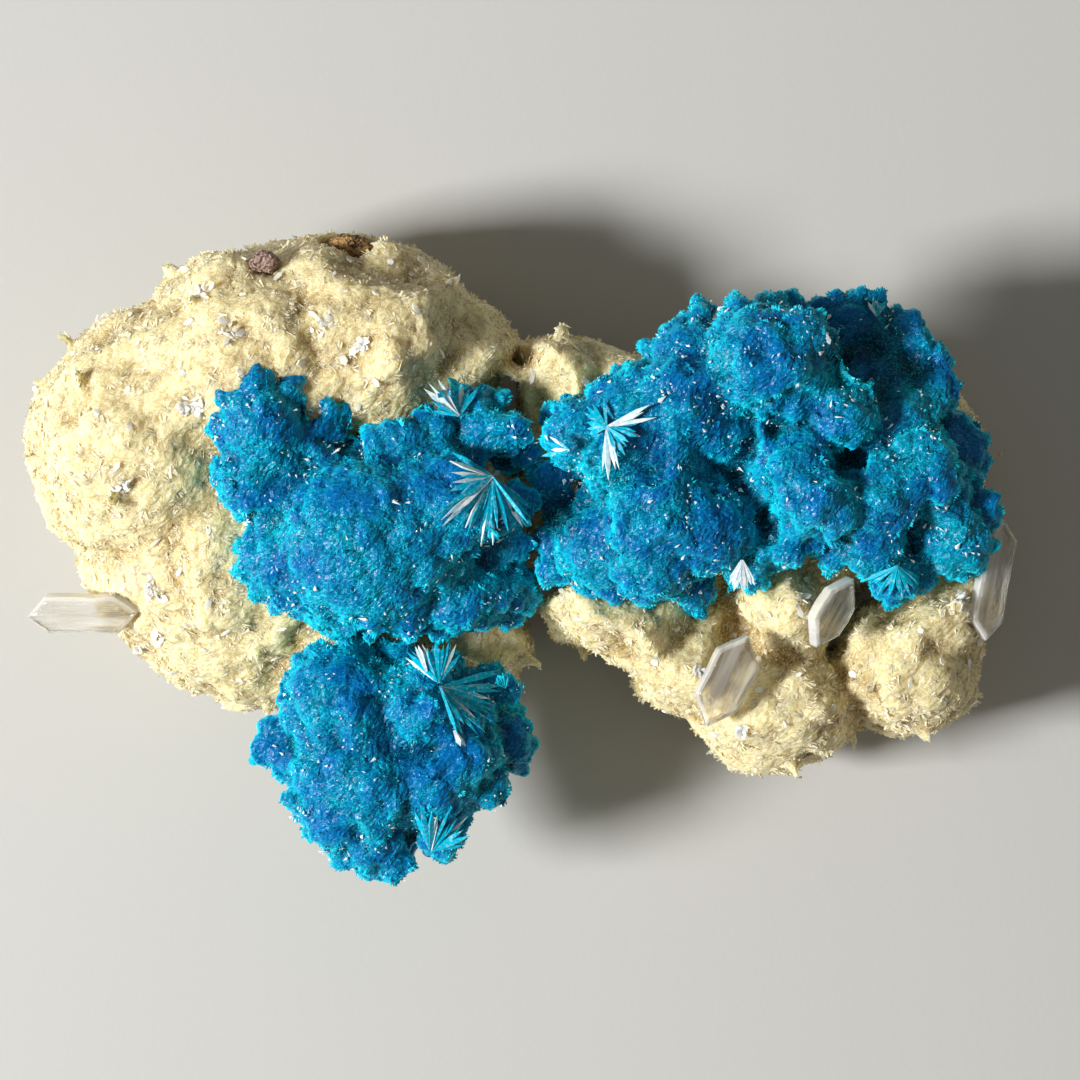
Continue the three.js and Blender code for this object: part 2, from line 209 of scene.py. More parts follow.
def apply_modifier(piece, kind, **settings):
    """Adds one modifier with its settings and applies it."""
    select_only(piece)
    modifier = piece.modifiers.new(kind.lower(), kind)
    for name, value in settings.items():
        setattr(modifier, name, value)
    bpy.ops.object.modifier_apply(modifier=modifier.name)


def copy_of(node, name):
    """A free copy of a CAD node, with its loose triangles joined."""
    piece = frame["nodes"][node].copy()
    piece.data = piece.data.copy()
    piece.parent = None
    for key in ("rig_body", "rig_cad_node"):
        del piece[key]
    piece.name = piece.data.name = name
    piece.data.materials.clear()
    bpy.context.scene.collection.objects.link(piece)
    select_only(piece)
    bpy.ops.object.mode_set(mode="EDIT")
    bpy.ops.mesh.select_all(action="SELECT")
    bpy.ops.mesh.remove_doubles(threshold=0.001 * MM)
    bpy.ops.object.mode_set(mode="OBJECT")
    return piece


def swell(piece, name, spacing, height, group=""):
    """Raises rounded mounds, with creases between them, all over a mesh or a vertex group."""
    cells = bpy.data.textures.new(name, "VORONOI")
    cells.distance_metric = "DISTANCE_SQUARED"
    cells.noise_scale = spacing
    # The pattern is 0 in the middle of a mound and about this high where it meets the next.
    cell_rise = 0.33
    apply_modifier(piece, "DISPLACE", texture=cells, strength=-height / cell_rise,
                   mid_level=0.75 * cell_rise, texture_coords="LOCAL", vertex_group=group)


def roughen(piece, grain):
    """Moves the vertices of a mesh by small random steps and leaves its faces flat."""
    select_only(piece)
    bpy.ops.object.mode_set(mode="EDIT")
    bpy.ops.mesh.select_all(action="SELECT")
    bpy.ops.transform.vertex_random(offset=grain, uniform=1.0, normal=0.0, seed=1)
    bpy.ops.mesh.faces_shade_flat()
    bpy.ops.object.mode_set(mode="OBJECT")


def read_vectors(piece, name):
    """One vector per vertex of a mesh, as the rows of an array."""
    values = np.empty(3 * len(piece.data.vertices), np.float32)
    piece.data.vertices.foreach_get(name, values)
    return values.reshape(-1, 3)


def move_vertices(piece, places):
    piece.data.vertices.foreach_set("co", places.ravel())
    piece.data.update()


def rest_on_table(piece):
    """Presses a mesh flat where it would reach below the table."""
    places = read_vectors(piece, "co")
    places[:, 2] = np.maximum(places[:, 2], 0.0)
    move_vertices(piece, places)


def normalised(vectors):
    return vectors / np.linalg.norm(vectors, axis=-1, keepdims=True)


def hollows_of(piece, rounds):
    """How hollow a mesh is at each vertex, from 0 on a crest to 1 in a crease.

    The mesh is held against a smoothed one, so more rounds of smoothing find wider hollows.
    """
    places = read_vectors(piece, "co")
    ends = np.empty(2 * len(piece.data.edges), np.int32)
    piece.data.edges.foreach_get("vertices", ends)
    ends = ends.reshape(-1, 2)
    counts = np.bincount(ends.ravel(), minlength=len(places))[:, None]
    smooth = places.copy()
    for _ in range(rounds):
        total = np.zeros_like(smooth)
        np.add.at(total, ends[:, 0], smooth[ends[:, 1]])
        np.add.at(total, ends[:, 1], smooth[ends[:, 0]])
        smooth = total / counts
    rise = ((smooth - places) * read_vectors(piece, "normal")).sum(axis=1)
    return np.clip(0.5 + 0.5 * rise / (2 * rise.std()), 0, 1)


def set_values(piece, copies=1, **values):
    """Stores numbers by name for the materials, each for one vertex or for the next copies."""
    for name, numbers in values.items():
        numbers = np.broadcast_to(numbers, np.shape(numbers) or len(piece.data.vertices) // copies)
        attribute = piece.data.attributes.new(name, "FLOAT", "POINT")
        attribute.data.foreach_set("value", np.repeat(numbers, copies).astype(np.float32))


def spots_on(piece, spacing, rng):
    """Places scattered over a mesh, at least one spacing apart, with normals and hollows."""
    mesh = piece.data
    mesh.calc_loop_triangles()
    places = read_vectors(piece, "co")
    normals = read_vectors(piece, "normal")
    hollow = np.empty(len(mesh.vertices), np.float32)
    mesh.attributes["hollow"].data.foreach_get("value", hollow)
    corners = np.empty(3 * len(mesh.loop_triangles), np.int32)
    mesh.loop_triangles.foreach_get("vertices", corners)
    corners = corners.reshape(-1, 3)
    sides = places[corners]
    areas = np.linalg.norm(np.cross(sides[:, 1] - sides[:, 0], sides[:, 2] - sides[:, 0]), axis=1)
    tries = int(areas.sum() / 2 / spacing ** 2 * TRIES_PER_SPOT)
    chosen = corners[rng.choice(len(corners), tries, p=areas / areas.sum())]
    shares = rng.dirichlet((1, 1, 1), tries)[:, :, None]
    spots = (places[chosen] * shares).sum(axis=1)
    cells = np.floor(spots / spacing).astype(int)
    taken, kept = {}, []
    for i, (spot, cell) in enumerate(zip(spots, map(tuple, cells))):
        near = [taken[key] for dx in (-1, 0, 1) for dy in (-1, 0, 1) for dz in (-1, 0, 1)
                if (key := (cell[0] + dx, cell[1] + dy, cell[2] + dz)) in taken]
        if all(((spot - other) ** 2).sum() > spacing ** 2 for group in near for other in group):
            taken.setdefault(cell, []).append(spot)
            kept.append(i)
    chosen, shares = chosen[kept], shares[kept]
    return (spots[kept], normalised((normals[chosen] * shares).sum(axis=1)),
            (hollow[chosen] * shares[:, :, 0]).sum(axis=1))


def surface_of(piece):
    return BVHTree.FromPolygons([v.co for v in piece.data.vertices],
                                [p.vertices for p in piece.data.polygons])


def is_inside(surface, point, depth):
    """True where a point is inside a closed surface by more than a depth."""
    nearest, normal, _, distance = surface.find_nearest(Vector(point))
    return (Vector(point) - nearest).dot(normal) < 0 and distance > depth


def edit_faces(piece, facing):
    """Enters edit mode with only the faces selected that look one way along Z."""
    for face in piece.data.polygons:
        face.select = facing * face.normal.z > 0.9
    bpy.ops.object.mode_set(mode="EDIT")


def shape_of(piece):
    """The vertices and triangles of a small modelled shape, which is then removed."""
    bpy.ops.mesh.select_all(action="SELECT")
    bpy.ops.mesh.remove_doubles(threshold=0.0001)
    bpy.ops.mesh.quads_convert_to_tris()
    bpy.ops.mesh.normals_make_consistent(inside=False)
    bpy.ops.object.mode_set(mode="OBJECT")
    points = np.array([v.co for v in piece.data.vertices])
    faces = np.array([p.vertices for p in piece.data.polygons])
    bpy.data.objects.remove(piece)
    return points, faces


def plant(name, shape, roots, across, along, sizes):
    """Joins one copy of a small shape per root: its X across, its Z along, and its sizes."""
    points, faces = shape
    roots, across, along, sizes = (a.reshape(-1, 3) for a in (roots, across, along, sizes))
    axes = np.stack([across, np.cross(along, across), along], axis=1) * sizes[:, :, None]
    starts = np.arange(len(roots))[:, None, None] * len(points)
    mesh = bpy.data.meshes.new(name)
    mesh.from_pydata((roots[:, None] + points @ axes).reshape(-1, 3), [],
                     (faces + starts).reshape(-1, 3))
    piece = bpy.data.objects.new(name, mesh)
    bpy.context.scene.collection.objects.link(piece)
    set_values(piece, tip=np.tile(points[:, 2], len(roots)))
    return piece


def add_to_part(piece, material, node=None):
    """Gives a finished piece its material and its place in the part."""
    piece.data.materials.clear()
    piece.data.materials.append(material)
    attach(piece, "root")
    if node:
        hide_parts(node)


def small_shape(kind, **settings):
    """Adds a primitive, with nothing else selected, and puts its place into its mesh."""
    bpy.ops.object.select_all(action="DESELECT")
    getattr(bpy.ops.mesh, f"primitive_{kind}_add")(**settings)
    bpy.ops.object.transform_apply(location=True, rotation=False, scale=True)
    bpy.ops.object.mode_set(mode="EDIT")
    bpy.ops.mesh.select_mode(type="FACE")
    bpy.ops.mesh.select_all(action="DESELECT")
    bpy.ops.object.mode_set(mode="OBJECT")
    return bpy.context.object


# A sliver is a wedge that thins from its buried root to a narrower ridge.
sliver = small_shape("cube", size=1, location=(0, 0, 0.5))
edit_faces(sliver, 1)
bpy.ops.transform.resize(value=(0.6, 0.0, 1), center_override=(0, 0, 1))
SLIVER_SHAPE = shape_of(sliver)

# A blade is a tablet that flares from its root and ends in a ridge.
blade = small_shape("cube", size=1, location=(0, 0, 0.35), scale=(1, 1, 0.7))
edit_faces(blade, 1)
bpy.ops.mesh.extrude_region_move(TRANSFORM_OT_translate={"value": (0, 0, 0.3)})
bpy.ops.transform.resize(value=(0.0, 0.8, 1), center_override=(0, 0, 1))
bpy.ops.mesh.select_all(action="DESELECT")
bpy.ops.object.mode_set(mode="OBJECT")
edit_faces(blade, -1)
bpy.ops.transform.resize(value=(0.5, 0.0, 1), center_override=(0, 0, 0))
BLADE_SHAPE = shape_of(blade)


def contour(tree, pattern, level, width, off_line=0.0):
    """A thin crooked line of value 1 where a pattern passes one level, and a value off it."""
    above = add_node(tree, "ShaderNodeMath", {0: pattern, 1: level}, operation="SUBTRACT")
    away = add_node(tree, "ShaderNodeMath", {0: above.outputs[0]}, operation="ABSOLUTE")
    return add_node(tree, "ShaderNodeMapRange", {
        "Value": away.outputs[0], "From Min": 0.0, "From Max": width, "To Min": 1.0,
        "To Max": off_line})


def stilbite_crystal(name, light_reach, glow, pallor_and_painted_glow):
    """Cream stilbite: how far and how much light soaks in, and how much paler it is, partly a painted
    glow.
    """
    material, tree = new_material(name)
    place = add_node(tree, "ShaderNodeTexCoord", {})
    tip, hollow, shade = (add_node(tree, "ShaderNodeAttribute", {}, attribute_name=name)
                          for name in ("tip", "hollow", "shade"))
    clouds = add_node(tree, "ShaderNodeTexNoise", {
        "Vector": place.outputs["Object"], "Scale": 1 / (5 * MM), "Detail": 3.0})
    strokes = add_node(tree, "ShaderNodeTexNoise", {
        "Vector": place.outputs["Object"], "Scale": 1 / (0.6 * MM), "Detail": 4.0,
        "Distortion": 3.0})
    # Painted shade: the crust turns honey brown in its hollows and valleys, where shade falls, as well
    # as where it is thick.
    thin = add_node(tree, "ShaderNodeMath", {
        0: tip.outputs["Fac"], 1: clouds.outputs["Fac"]}, operation="ADD")
    thin_less_valley_shade = add_node(tree, "ShaderNodeMath", {
        0: thin.outputs[0], 1: hollow.outputs["Fac"]}, operation="SUBTRACT")
    cream_out_of_shade = add_node(tree, "ShaderNodeMapRange", {
        "Value": thin_less_valley_shade.outputs[0], "From Min": 0.3, "From Max": 0.85})
    creamy = add_node(tree, "ShaderNodeMix", {
        0: cream_out_of_shade.outputs[0], 6: linear(STILBITE_HONEY_AND_SHADE), 7: linear(STILBITE_CREAM)},
        data_type="RGBA")
    # Painted highlights: the lit edges of the slivers are painted pale along one contour of the strokes,
    # crooked.
    painted_edge_highlight = contour(tree, strokes.outputs["Fac"], 0.53, 0.03, pallor_and_painted_glow)
    edge_highlighted = add_node(tree, "ShaderNodeMix", {
        0: painted_edge_highlight.outputs[0], 6: creamy.outputs[2], 7: linear(STILBITE_HIGHLIGHT_WHITE)},
        data_type="RGBA")
    # Thin crooked cracks follow one contour of the strokes, where the crust is hollow.
    crack = contour(tree, strokes.outputs["Fac"], 0.46, 0.02)
    deep = add_node(tree, "ShaderNodeMapRange", {
        "Value": hollow.outputs["Fac"], "From Min": 0.4, "From Max": 0.9, "To Min": 0.1,
        "To Max": 0.8})
    stained = add_node(tree, "ShaderNodeMath", {
        0: crack.outputs[0], 1: deep.outputs[0]}, operation="MULTIPLY")
    coloured = add_node(tree, "ShaderNodeMix", {
        0: stained.outputs[0], 6: edge_highlighted.outputs[2], 7: linear(STILBITE_STAIN)},
        data_type="RGBA")
    streaky = add_node(tree, "ShaderNodeMath", {
        0: shade.outputs["Fac"], 1: strokes.outputs["Fac"]}, operation="ADD")
    brightness = add_node(tree, "ShaderNodeMapRange", {
        "Value": streaky.outputs[0], "From Min": 0.7, "From Max": 1.3,
        "To Min": 0.74, "To Max": 1.22})
    varied = add_node(tree, "ShaderNodeHueSaturation", {
        "Color": coloured.outputs[2], "Value": brightness.outputs[0]})
    ridges = add_node(tree, "ShaderNodeBump", {
        "Height": strokes.outputs["Fac"], "Strength": 0.5, "Distance": 0.25 * MM})
    shader = add_node(tree, "ShaderNodeBsdfPrincipled", {
        "Base Color": varied.outputs[0], "Roughness": 0.45, "IOR": 1.5,
        "Specular IOR Level": 0.35, "Subsurface Weight": glow,
        "Subsurface Radius": (1.0, 0.84, 0.5), "Subsurface Scale": light_reach,
        "Normal": ridges.outputs[0]})
    add_node(tree, "ShaderNodeOutputMaterial", {"Surface": shader.outputs[0]})
    return material


# Stilbite is glassy, so a crust of it glows cream and has no hard shadows. It is honey
# coloured where it is thick, and honey brown is painted into its hollows and valleys as
# painted shade. Iron stains some crevices brown. Light soaks deep into the mass, and goes
# through a sliver, whose paler colour is partly a painted glow of that light.
stilbite_mass = stilbite_crystal("stilbite_mass", 1.1 * MM, 0.9, 0.0)
stilbite_sliver = stilbite_crystal("stilbite_sliver", 0.15 * MM, 0.4, 0.25)

rng = np.random.default_rng(7)
druse = copy_of(DRUSE_NODE, "stilbite_heart")
apply_modifier(druse, "REMESH", mode="VOXEL", voxel_size=DRUSE_VOXEL)
apply_modifier(druse, "SMOOTH", factor=0.5, iterations=8)
swell(druse, "mounds", **MOUND)
swell(druse, "knobs", **DRUSE_KNOBS)
# The hollows are kept for the materials, which paint shade into the creases and valleys.
hollow = np.maximum(CREASE_SHARE * hollows_of(druse, CREASE_ROUNDS),
                    hollows_of(druse, VALLEY_ROUNDS) - VALLEY_LESS)
set_values(druse, hollow=hollow, tip=0.6, shade=0.5)
spots, normals, hollow = spots_on(druse, SHEAF_SPACING, rng)
plate_spots = spots_on(druse, PLATE_SPACING, rng)
roughen(druse, DRUSE_GRAIN)
rest_on_table(druse)
druse_surface = surface_of(druse)
add_to_part(druse, stilbite_mass, DRUSE_NODE)

cluster_surfaces = [surface_of(frame["nodes"][name]) for name in CLUSTERS]


def is_open(spot):
    """True where nothing that grew on the druse covers a place."""
    return not any(is_inside(surface, spot, COVER_DEPTH) for surface in cluster_surfaces)


def steepness(normals):
    """How steep a surface is, from 0 where it faces up to 1 on its sides and below."""
    return np.clip((0.8 - normals[:, 2]) / 0.6, 0, 1)


def leaning(normals, slopes):
    """Ways that lean from the normals by a random slope, and the ways across them."""
    sideways = normalised(np.cross(normals, rng.normal(size=normals.shape)))
    slopes = np.broadcast_to(slopes, (len(normals), 2))
    slopes = rng.uniform(slopes[:, :1], slopes[:, 1:])
    return normalised(normals + slopes * sideways), np.cross(normals, sideways)


shares = SHEAF_SHARE_ABOVE + (1 - SHEAF_SHARE_ABOVE) * steepness(normals)
shares = np.where(normals[:, 2] > -0.2, shares, UNDERSIDE_SHARE)
chosen = rng.random(len(spots)) < shares
shown = [i for i, spot in enumerate(spots) if chosen[i] and is_open(spot)]
spots, normals, hollow = spots[shown], normals[shown], hollow[shown]
count = len(spots)
each = (count, SHEAF_SLIVERS)
steep = steepness(normals)[:, None]
stems, across = leaning(normals, np.array(SHEAF_LEAN_ABOVE) * (1 - steep)
                        + np.array(SHEAF_LEAN_BESIDE) * steep)
steps = np.linspace(-1, 1, SHEAF_SLIVERS)
angles = (SHEAF_FAN * steps + SHEAF_UNEVENNESS * rng.normal(size=each))[..., None]
along = stems[:, None] * np.cos(angles) + across[:, None] * np.sin(angles)
sides = across[:, None] * np.cos(angles) - stems[:, None] * np.sin(angles)
turns = SLIVER_TWIST * rng.normal(size=each)[..., None]
sides = sides * np.cos(turns) + np.cross(along, sides) * np.sin(turns)
roots = spots[:, None] - along * SLIVER["sunk"]
roots = roots + across[:, None] * (steps * SLIVER_STEP)[None, :, None]
grown = rng.uniform(0.75, 1.2, count)[:, None]
lengths = SLIVER["length"] * grown * rng.uniform(0.75, 1.2, each)
widths = SLIVER["width"] * grown * rng.uniform(0.6, 1.3, each)
thicknesses = SLIVER["thickness"] * rng.uniform(0.7, 1.3, each)
sizes = np.stack([widths, thicknesses, lengths], axis=-1)
shades = np.clip(rng.normal(0.5, 0.15, each), 0, 1)
hollow = np.repeat(0.8 * hollow[:, None], SHEAF_SLIVERS, axis=1)
ends = roots + along * lengths[..., None]
above = (roots[..., 2] > TABLE_CLEARANCE) & (ends[..., 2] > TABLE_CLEARANCE)
for side, (low, high) in CRUST_PARTS.items():
    here = above & ((spots[:, 0] >= low) & (spots[:, 0] < high))[:, None]
    crust = plant(f"stilbite_sheaves_{side}", SLIVER_SHAPE, roots[here], sides[here],
                  along[here], sizes[here])
    set_values(crust, len(SLIVER_SHAPE[0]), hollow=hollow[here], shade=shades[here])
    add_to_part(crust, stilbite_sliver)

# Larger plates lie here and there on the crust. Their cleavages scatter light and whiten them,
# and their white colour is also a painted highlight of the light that their flat faces mirror.
plates, tree = new_material("stilbite_plate")
place = add_node(tree, "ShaderNodeTexCoord", {})
layers = add_node(tree, "ShaderNodeTexNoise", {
    "Vector": place.outputs["Object"], "Scale": 1 / (0.5 * MM), "Detail": 2.0})
coloured = add_node(tree, "ShaderNodeMix", {
    0: layers.outputs["Fac"], 6: linear(PLATE_CREAM), 7: linear(PLATE_WHITE)}, data_type="RGBA")
shader = add_node(tree, "ShaderNodeBsdfPrincipled", {
    "Base Color": coloured.outputs[2], "Roughness": 0.2, "IOR": 1.5,
    "Subsurface Weight": 0.7, "Subsurface Radius": (1.0, 0.95, 0.85),
    "Subsurface Scale": 0.3 * MM})
add_node(tree, "ShaderNodeOutputMaterial", {"Surface": shader.outputs[0]})
spots, normals, _ = plate_spots
shown = [i for i, spot in enumerate(spots) if is_open(spot) and spot[2] > PLATES_ABOVE]
spots, normals = spots[shown], normals[shown]
clumped = []
for x, y, radius in CLUMPS:
    near = np.array([x, y]) + radius * rng.normal(0, CLUMP_SPREAD, (CLUMP_PLATES, 2))
    tops = [druse_surface.ray_cast(Vector((*(place * MM), HIGH_ABOVE)), DOWN) for place in near]
    clumped += [top for top in tops if top[0]]
spots = np.concatenate([spots, [top[0] for top in clumped]])
normals = np.concatenate([normals, [top[1] for top in clumped]])
stems, across = leaning(normals, PLATE_LEAN)
sizes = np.array([PLATE["width"], PLATE["thickness"], PLATE["length"]])
sizes = sizes * rng.uniform(0.5, 1.5, spots.shape)
roots = spots + normals * PLATE_PROUD - stems * PLATE["length"] * PLATE_SUNK_SHARE
piece = plant("stilbite_plates", BLADE_SHAPE, roots, across, stems, sizes)
add_to_part(piece, plates)


# ---------------------------------------------------------------- cavansite rosettes
# Each cluster is a crowd of balls of cavansite, and each ball is made of fans of thin blue
# needles that radiate from its heart. They are deep blue where they stand close together,
# and painted shade darkens them towards black in creases. They are turquoise where they are
# free and thin, at the balls' sides, where a painted glow of light through them is added.
# A ball is given by its place seen from above and its radius, in millimetres.
BALLS = {
    "cavansite_west": [
        (-16.6, 8.9, 3.1), (-17.4, 5.1, 2.5), (-12.2, 8.8, 1.6), (-14.8, -0.2, 3.4),
        (-9.9, 1.1, 6.2), (-8.6, 6.8, 2.0), (-5.6, 8.6, 1.3), (-4.0, 4.9, 1.8),
        (-4.0, -2.7, 2.6), (-0.8, -2.1, 2.3), (-0.5, 8.0, 1.7), (-3.0, 9.9, 1.7),
        (-5.0, 3.0, 3.9), (0.1, 3.5, 1.7), (-1.4, 0.8, 2.2)],
    "cavansite_east": [
        (4.4, 8.0, 2.8), (8.1, 8.6, 4.3), (5.7, 0.8, 3.4), (12.1, 1.9, 3.3), (8.8, -0.2, 3.1),
        (11.7, -2.1, 1.8), (11.5, 12.9, 3.0), (15.7, 13.0, 3.8), (18.4, 13.9, 2.6),
        (13.7, 8.3, 1.8), (17.6, 10.3, 2.0), (21.4, 9.3, 2.4), (18.3, 6.0, 2.8),
        (20.7, 3.2, 2.1), (17.8, 0.8, 1.6), (15.0, -0.6, 1.6), (21.9, 13.9, 3.3),
        (25.0, 14.5, 1.8), (27.5, 11.2, 1.8), (24.5, 11.6, 2.4), (26.4, 6.6, 2.1),
        (27.5, 4.7, 1.6), (24.2, 4.7, 2.5), (23.3, 1.4, 2.5), (21.2, 0.3, 1.6),
        (25.0, -1.3, 2.1), (29.0, 1.1, 2.8), (28.9, 7.0, 2.8), (2.3, 5.2, 1.4), (2.7, 3.4, 1.6),
        (2.7, 1.0, 1.4), (2.4, -0.9, 1.2)],
    "cavansite_south": [
        (-11.8, -9.4, 4.1), (-14.8, -12.3, 2.2), (-10.9, -14.3, 4.3), (-11.8, -16.7, 3.0),
        (-9.4, -18.9, 2.4), (-5.0, -18.2, 2.0), (-5.6, -14.6, 3.0), (-6.4, -10.4, 1.8),
        (-3.1, -10.2, 2.0), (-2.3, -13.0, 1.7), (-0.5, -12.0, 2.0), (-1.6, -15.0, 1.6),
        (-7.9, -7.1, 2.0), (-2.0, -8.7, 1.8), (-7.6, -8.9, 2.4),
        (-6.1, -8.9, 2.0)],
}
# Small balls crowd at the rims, and each is backed by a larger one further in.
RIM_BALLS = {
    "cavansite_west": [
        (-16.9, 12.0, 0.8), (-14.5, 11.2, 0.9), (-12.5, 10.0, 0.9), (-11.3, 9.6, 0.7),
        (-18.9, 10.5, 0.6), (-19.5, 8.7, 0.8), (-19.1, 7.6, 0.8), (-19.3, 5.7, 0.8),
        (-18.7, 4.4, 0.8), (-17.7, 3.4, 0.8), (-17.7, 0.8, 0.8), (-18.0, -0.7, 0.7),
        (-16.9, -2.2, 0.8), (-15.3, -2.9, 0.8), (-14.0, -3.2, 0.7), (-12.7, -4.1, 0.8),
        (-11.3, -4.8, 0.8), (-9.4, -4.6, 0.9), (-7.7, -4.1, 0.9), (-6.7, -4.9, 0.7),
        (-5.0, -4.8, 0.9), (-3.4, -3.9, 0.9), (-2.0, -2.9, 0.9), (-0.4, -3.9, 0.9),
        (0.9, -2.9, 0.8), (-0.1, -0.6, 0.8), (0.3, 0.8, 0.8), (-9.2, 8.1, 0.7), (-7.6, 8.4, 0.6),
        (-5.7, 8.7, 0.8), (-4.7, 10.4, 0.8), (-2.5, 10.4, 0.9), (-0.8, 10.4, 0.6),
        (-0.4, 8.4, 1.2), (0.6, 6.7, 0.9)],
    "cavansite_east": [
        (3.4, 10.1, 0.7), (2.3, 9.4, 0.7), (3.3, 5.7, 1.0), (3.9, -1.6, 0.7), (5.1, -2.4, 0.8),
        (6.6, -2.6, 0.8), (7.9, -2.2, 0.7), (8.8, -2.9, 0.7), (10.2, -2.2, 0.7), (11.6, -2.9, 0.8),
        (12.3, -3.7, 0.5), (12.6, -1.9, 0.7), (15.2, 3.4, 0.7), (14.9, 1.8, 0.8), (14.6, 0.4, 0.8),
        (15.7, -1.6, 0.8), (16.4, 0.3, 0.7), (17.9, 0.4, 0.9), (20.9, -0.2, 1.0),
        (22.9, -0.6, 0.8), (25.1, -2.4, 1.0), (26.2, -1.9, 0.7), (27.0, -1.6, 0.7),
        (28.8, -0.6, 0.8), (30.2, -0.6, 0.8), (31.2, 0.8, 0.7), (31.2, 3.7, 0.8),
        (28.5, 11.4, 1.0), (27.5, 13.7, 0.8), (25.9, 15.4, 1.0), (24.9, 15.7, 0.7),
        (23.9, 16.7, 0.8), (23.0, 17.2, 0.7), (21.2, 16.7, 0.8), (19.9, 16.5, 0.7),
        (17.9, 16.9, 0.7), (16.9, 16.8, 0.8), (14.6, 16.4, 0.8), (12.2, 16.2, 0.9),
        (11.2, 15.7, 0.7), (9.9, 14.4, 0.8), (8.9, 13.6, 0.7), (7.7, 12.3, 0.5), (6.3, 11.4, 0.5),
        (14.1, 9.7, 0.8), (14.6, 7.7, 0.9), (22.5, 9.4, 1.2), (19.5, 7.1, 1.2), (23.0, 3.2, 0.7),
        (21.9, 2.4, 0.7), (20.7, 1.6, 0.7), (19.7, 0.9, 0.7)],
    "cavansite_south": [
        (-10.7, -5.9, 0.8), (-12.0, -6.3, 0.7), (-13.7, -7.2, 0.8), (-14.3, -8.2, 0.8),
        (-15.0, -9.5, 0.8), (-16.0, -11.2, 0.9), (-16.9, -12.9, 0.8), (-15.3, -14.2, 0.7),
        (-14.9, -15.8, 0.7), (-14.0, -17.2, 0.7), (-13.0, -18.2, 0.7), (-11.8, -19.2, 0.8),
        (-11.3, -20.2, 0.8), (-9.7, -20.8, 0.8), (-8.0, -21.0, 0.8), (-7.2, -20.2, 0.7),
        (-1.7, -16.0, 0.8), (-0.1, -13.5, 1.2), (-0.4, -10.9, 1.2), (-0.7, -8.9, 1.1),
        (-6.0, -10.7, 1.1), (-2.0, -12.9, 1.0)],
}
# A crevice is given by its place seen from above, its radius and its depth, in millimetres.
CREVICES = [
    (16.9, 8.5, 1.3, 1.3), (14.4, 4.9, 1.3, 1.4), (16.2, 2.1, 1.1, 1.4), (23.5, 13.9, 2.2, 1.6),
    (25.9, 12.6, 1.6, 1.2), (21.0, 13.2, 1.8, 1.2), (24.0, 10.4, 1.5, 0.7), (21.6, 6.4, 0.9, 0.9),
    (2.6, 2.6, 2.6, 0.2), (-13.7, 9.4, 0.9, 0.9), (-11.0, 8.4, 0.9, 0.9), (-0.9, 6.6, 0.9, 0.8),
    (-5.6, -12.6, 0.9, 0.7)]
LARGE_BALL = 1.5
LARGE_BALL_LESS = 0.25 * MM
RIM_BALL_BACKING = 1.7
BALL_FLATNESS = 0.75
BALL_ON_DRUSE = 0.45
ROSETTE_LEVEL = 16 * MM
ROSETTE_VOXEL = 0.22 * MM
ROSETTE_SHRINK = 0.3 * MM
TUFT_KNOBS = {"spacing": 1.3 * MM, "height": 0.14 * MM}
RIM_LOBES = {"spacing": 1.0 * MM, "height": 0.35 * MM}
ROSETTE_GRAIN = 0.05 * MM
ROSETTE_VALLEY_ROUNDS = 50
VELVET_SPACING = 0.46 * MM
VELVET_SHARE_ABOVE = 0.1
VELVET_SHARE_BESIDE = 0.7
VELVET_LEAN = (0.7, 2.5)
# The share of nap needles painted bright as highlights.
VELVET_HIGHLIGHT_SHARE = 0.25
VELVET = {"needles": 3, "flare": (0.7, 0.5), "length": 0.48 * MM, "width": 0.15 * MM,
          "thickness": 0.1 * MM, "sunk": 0.26 * MM}
PETAL_SPACING = 0.8 * MM
PETAL_LEAN = (0.0, 0.3)
PETAL_SHARE_ABOVE = 0.03
PETAL_HOLLOW_LIMIT = 0.7
PETAL = {"needles": 12, "flare": (0.5, 0.15), "length": 1.2 * MM, "width": 0.26 * MM,
         "thickness": 0.17 * MM, "sunk": 0.9 * MM}
# The deep colour is partly painted shade, near black in creases. The pale one is painted light: a glow
# at the balls' sides and highlights on needle edges.
CAVANSITE_DEEP_BLUE_AND_SHADE = "#002438"
CAVANSITE_BLUE = "#0060a0"
CAVANSITE_TEAL = "#007f9c"
CAVANSITE_PALE_AND_PAINTED_LIGHT = "#1cd6ea"

# A needle flares from its root and ends in a point.
needle = small_shape("cone", vertices=4, radius1=0.5, radius2=0, depth=0.25,
                     location=(0, 0, 0.875))
edit_faces(needle, -1)
bpy.ops.mesh.extrude_region_move(TRANSFORM_OT_translate={"value": (0, 0, -0.75)})
bpy.ops.transform.resize(value=(0.0, 0.0, 1), center_override=(0, 0, 0))
NEEDLE_SHAPE = shape_of(needle)

# Cavansite is clear and strongly coloured. Its creases and crevices are painted nearly black,
# as painted shade among crowded needles. Where needles part it is azure, then teal, and at the
# balls' steep sides pale turquoise, partly the colour of thin needles and partly a painted glow.
cavansite, tree = new_material("cavansite_needle")
place = add_node(tree, "ShaderNodeTexCoord", {})
tip, rim, hollow, shade = (add_node(tree, "ShaderNodeAttribute", {}, attribute_name=name)
                           for name in ("tip", "rim", "hollow", "shade"))
clouds = add_node(tree, "ShaderNodeTexNoise", {
    "Vector": place.outputs["Object"], "Scale": 1 / (3 * MM), "Detail": 2.0})
needles = add_node(tree, "ShaderNodeTexNoise", {
    "Vector": place.outputs["Object"], "Scale": 1 / (0.55 * MM), "Detail": 3.0,
    "Distortion": 2.0})
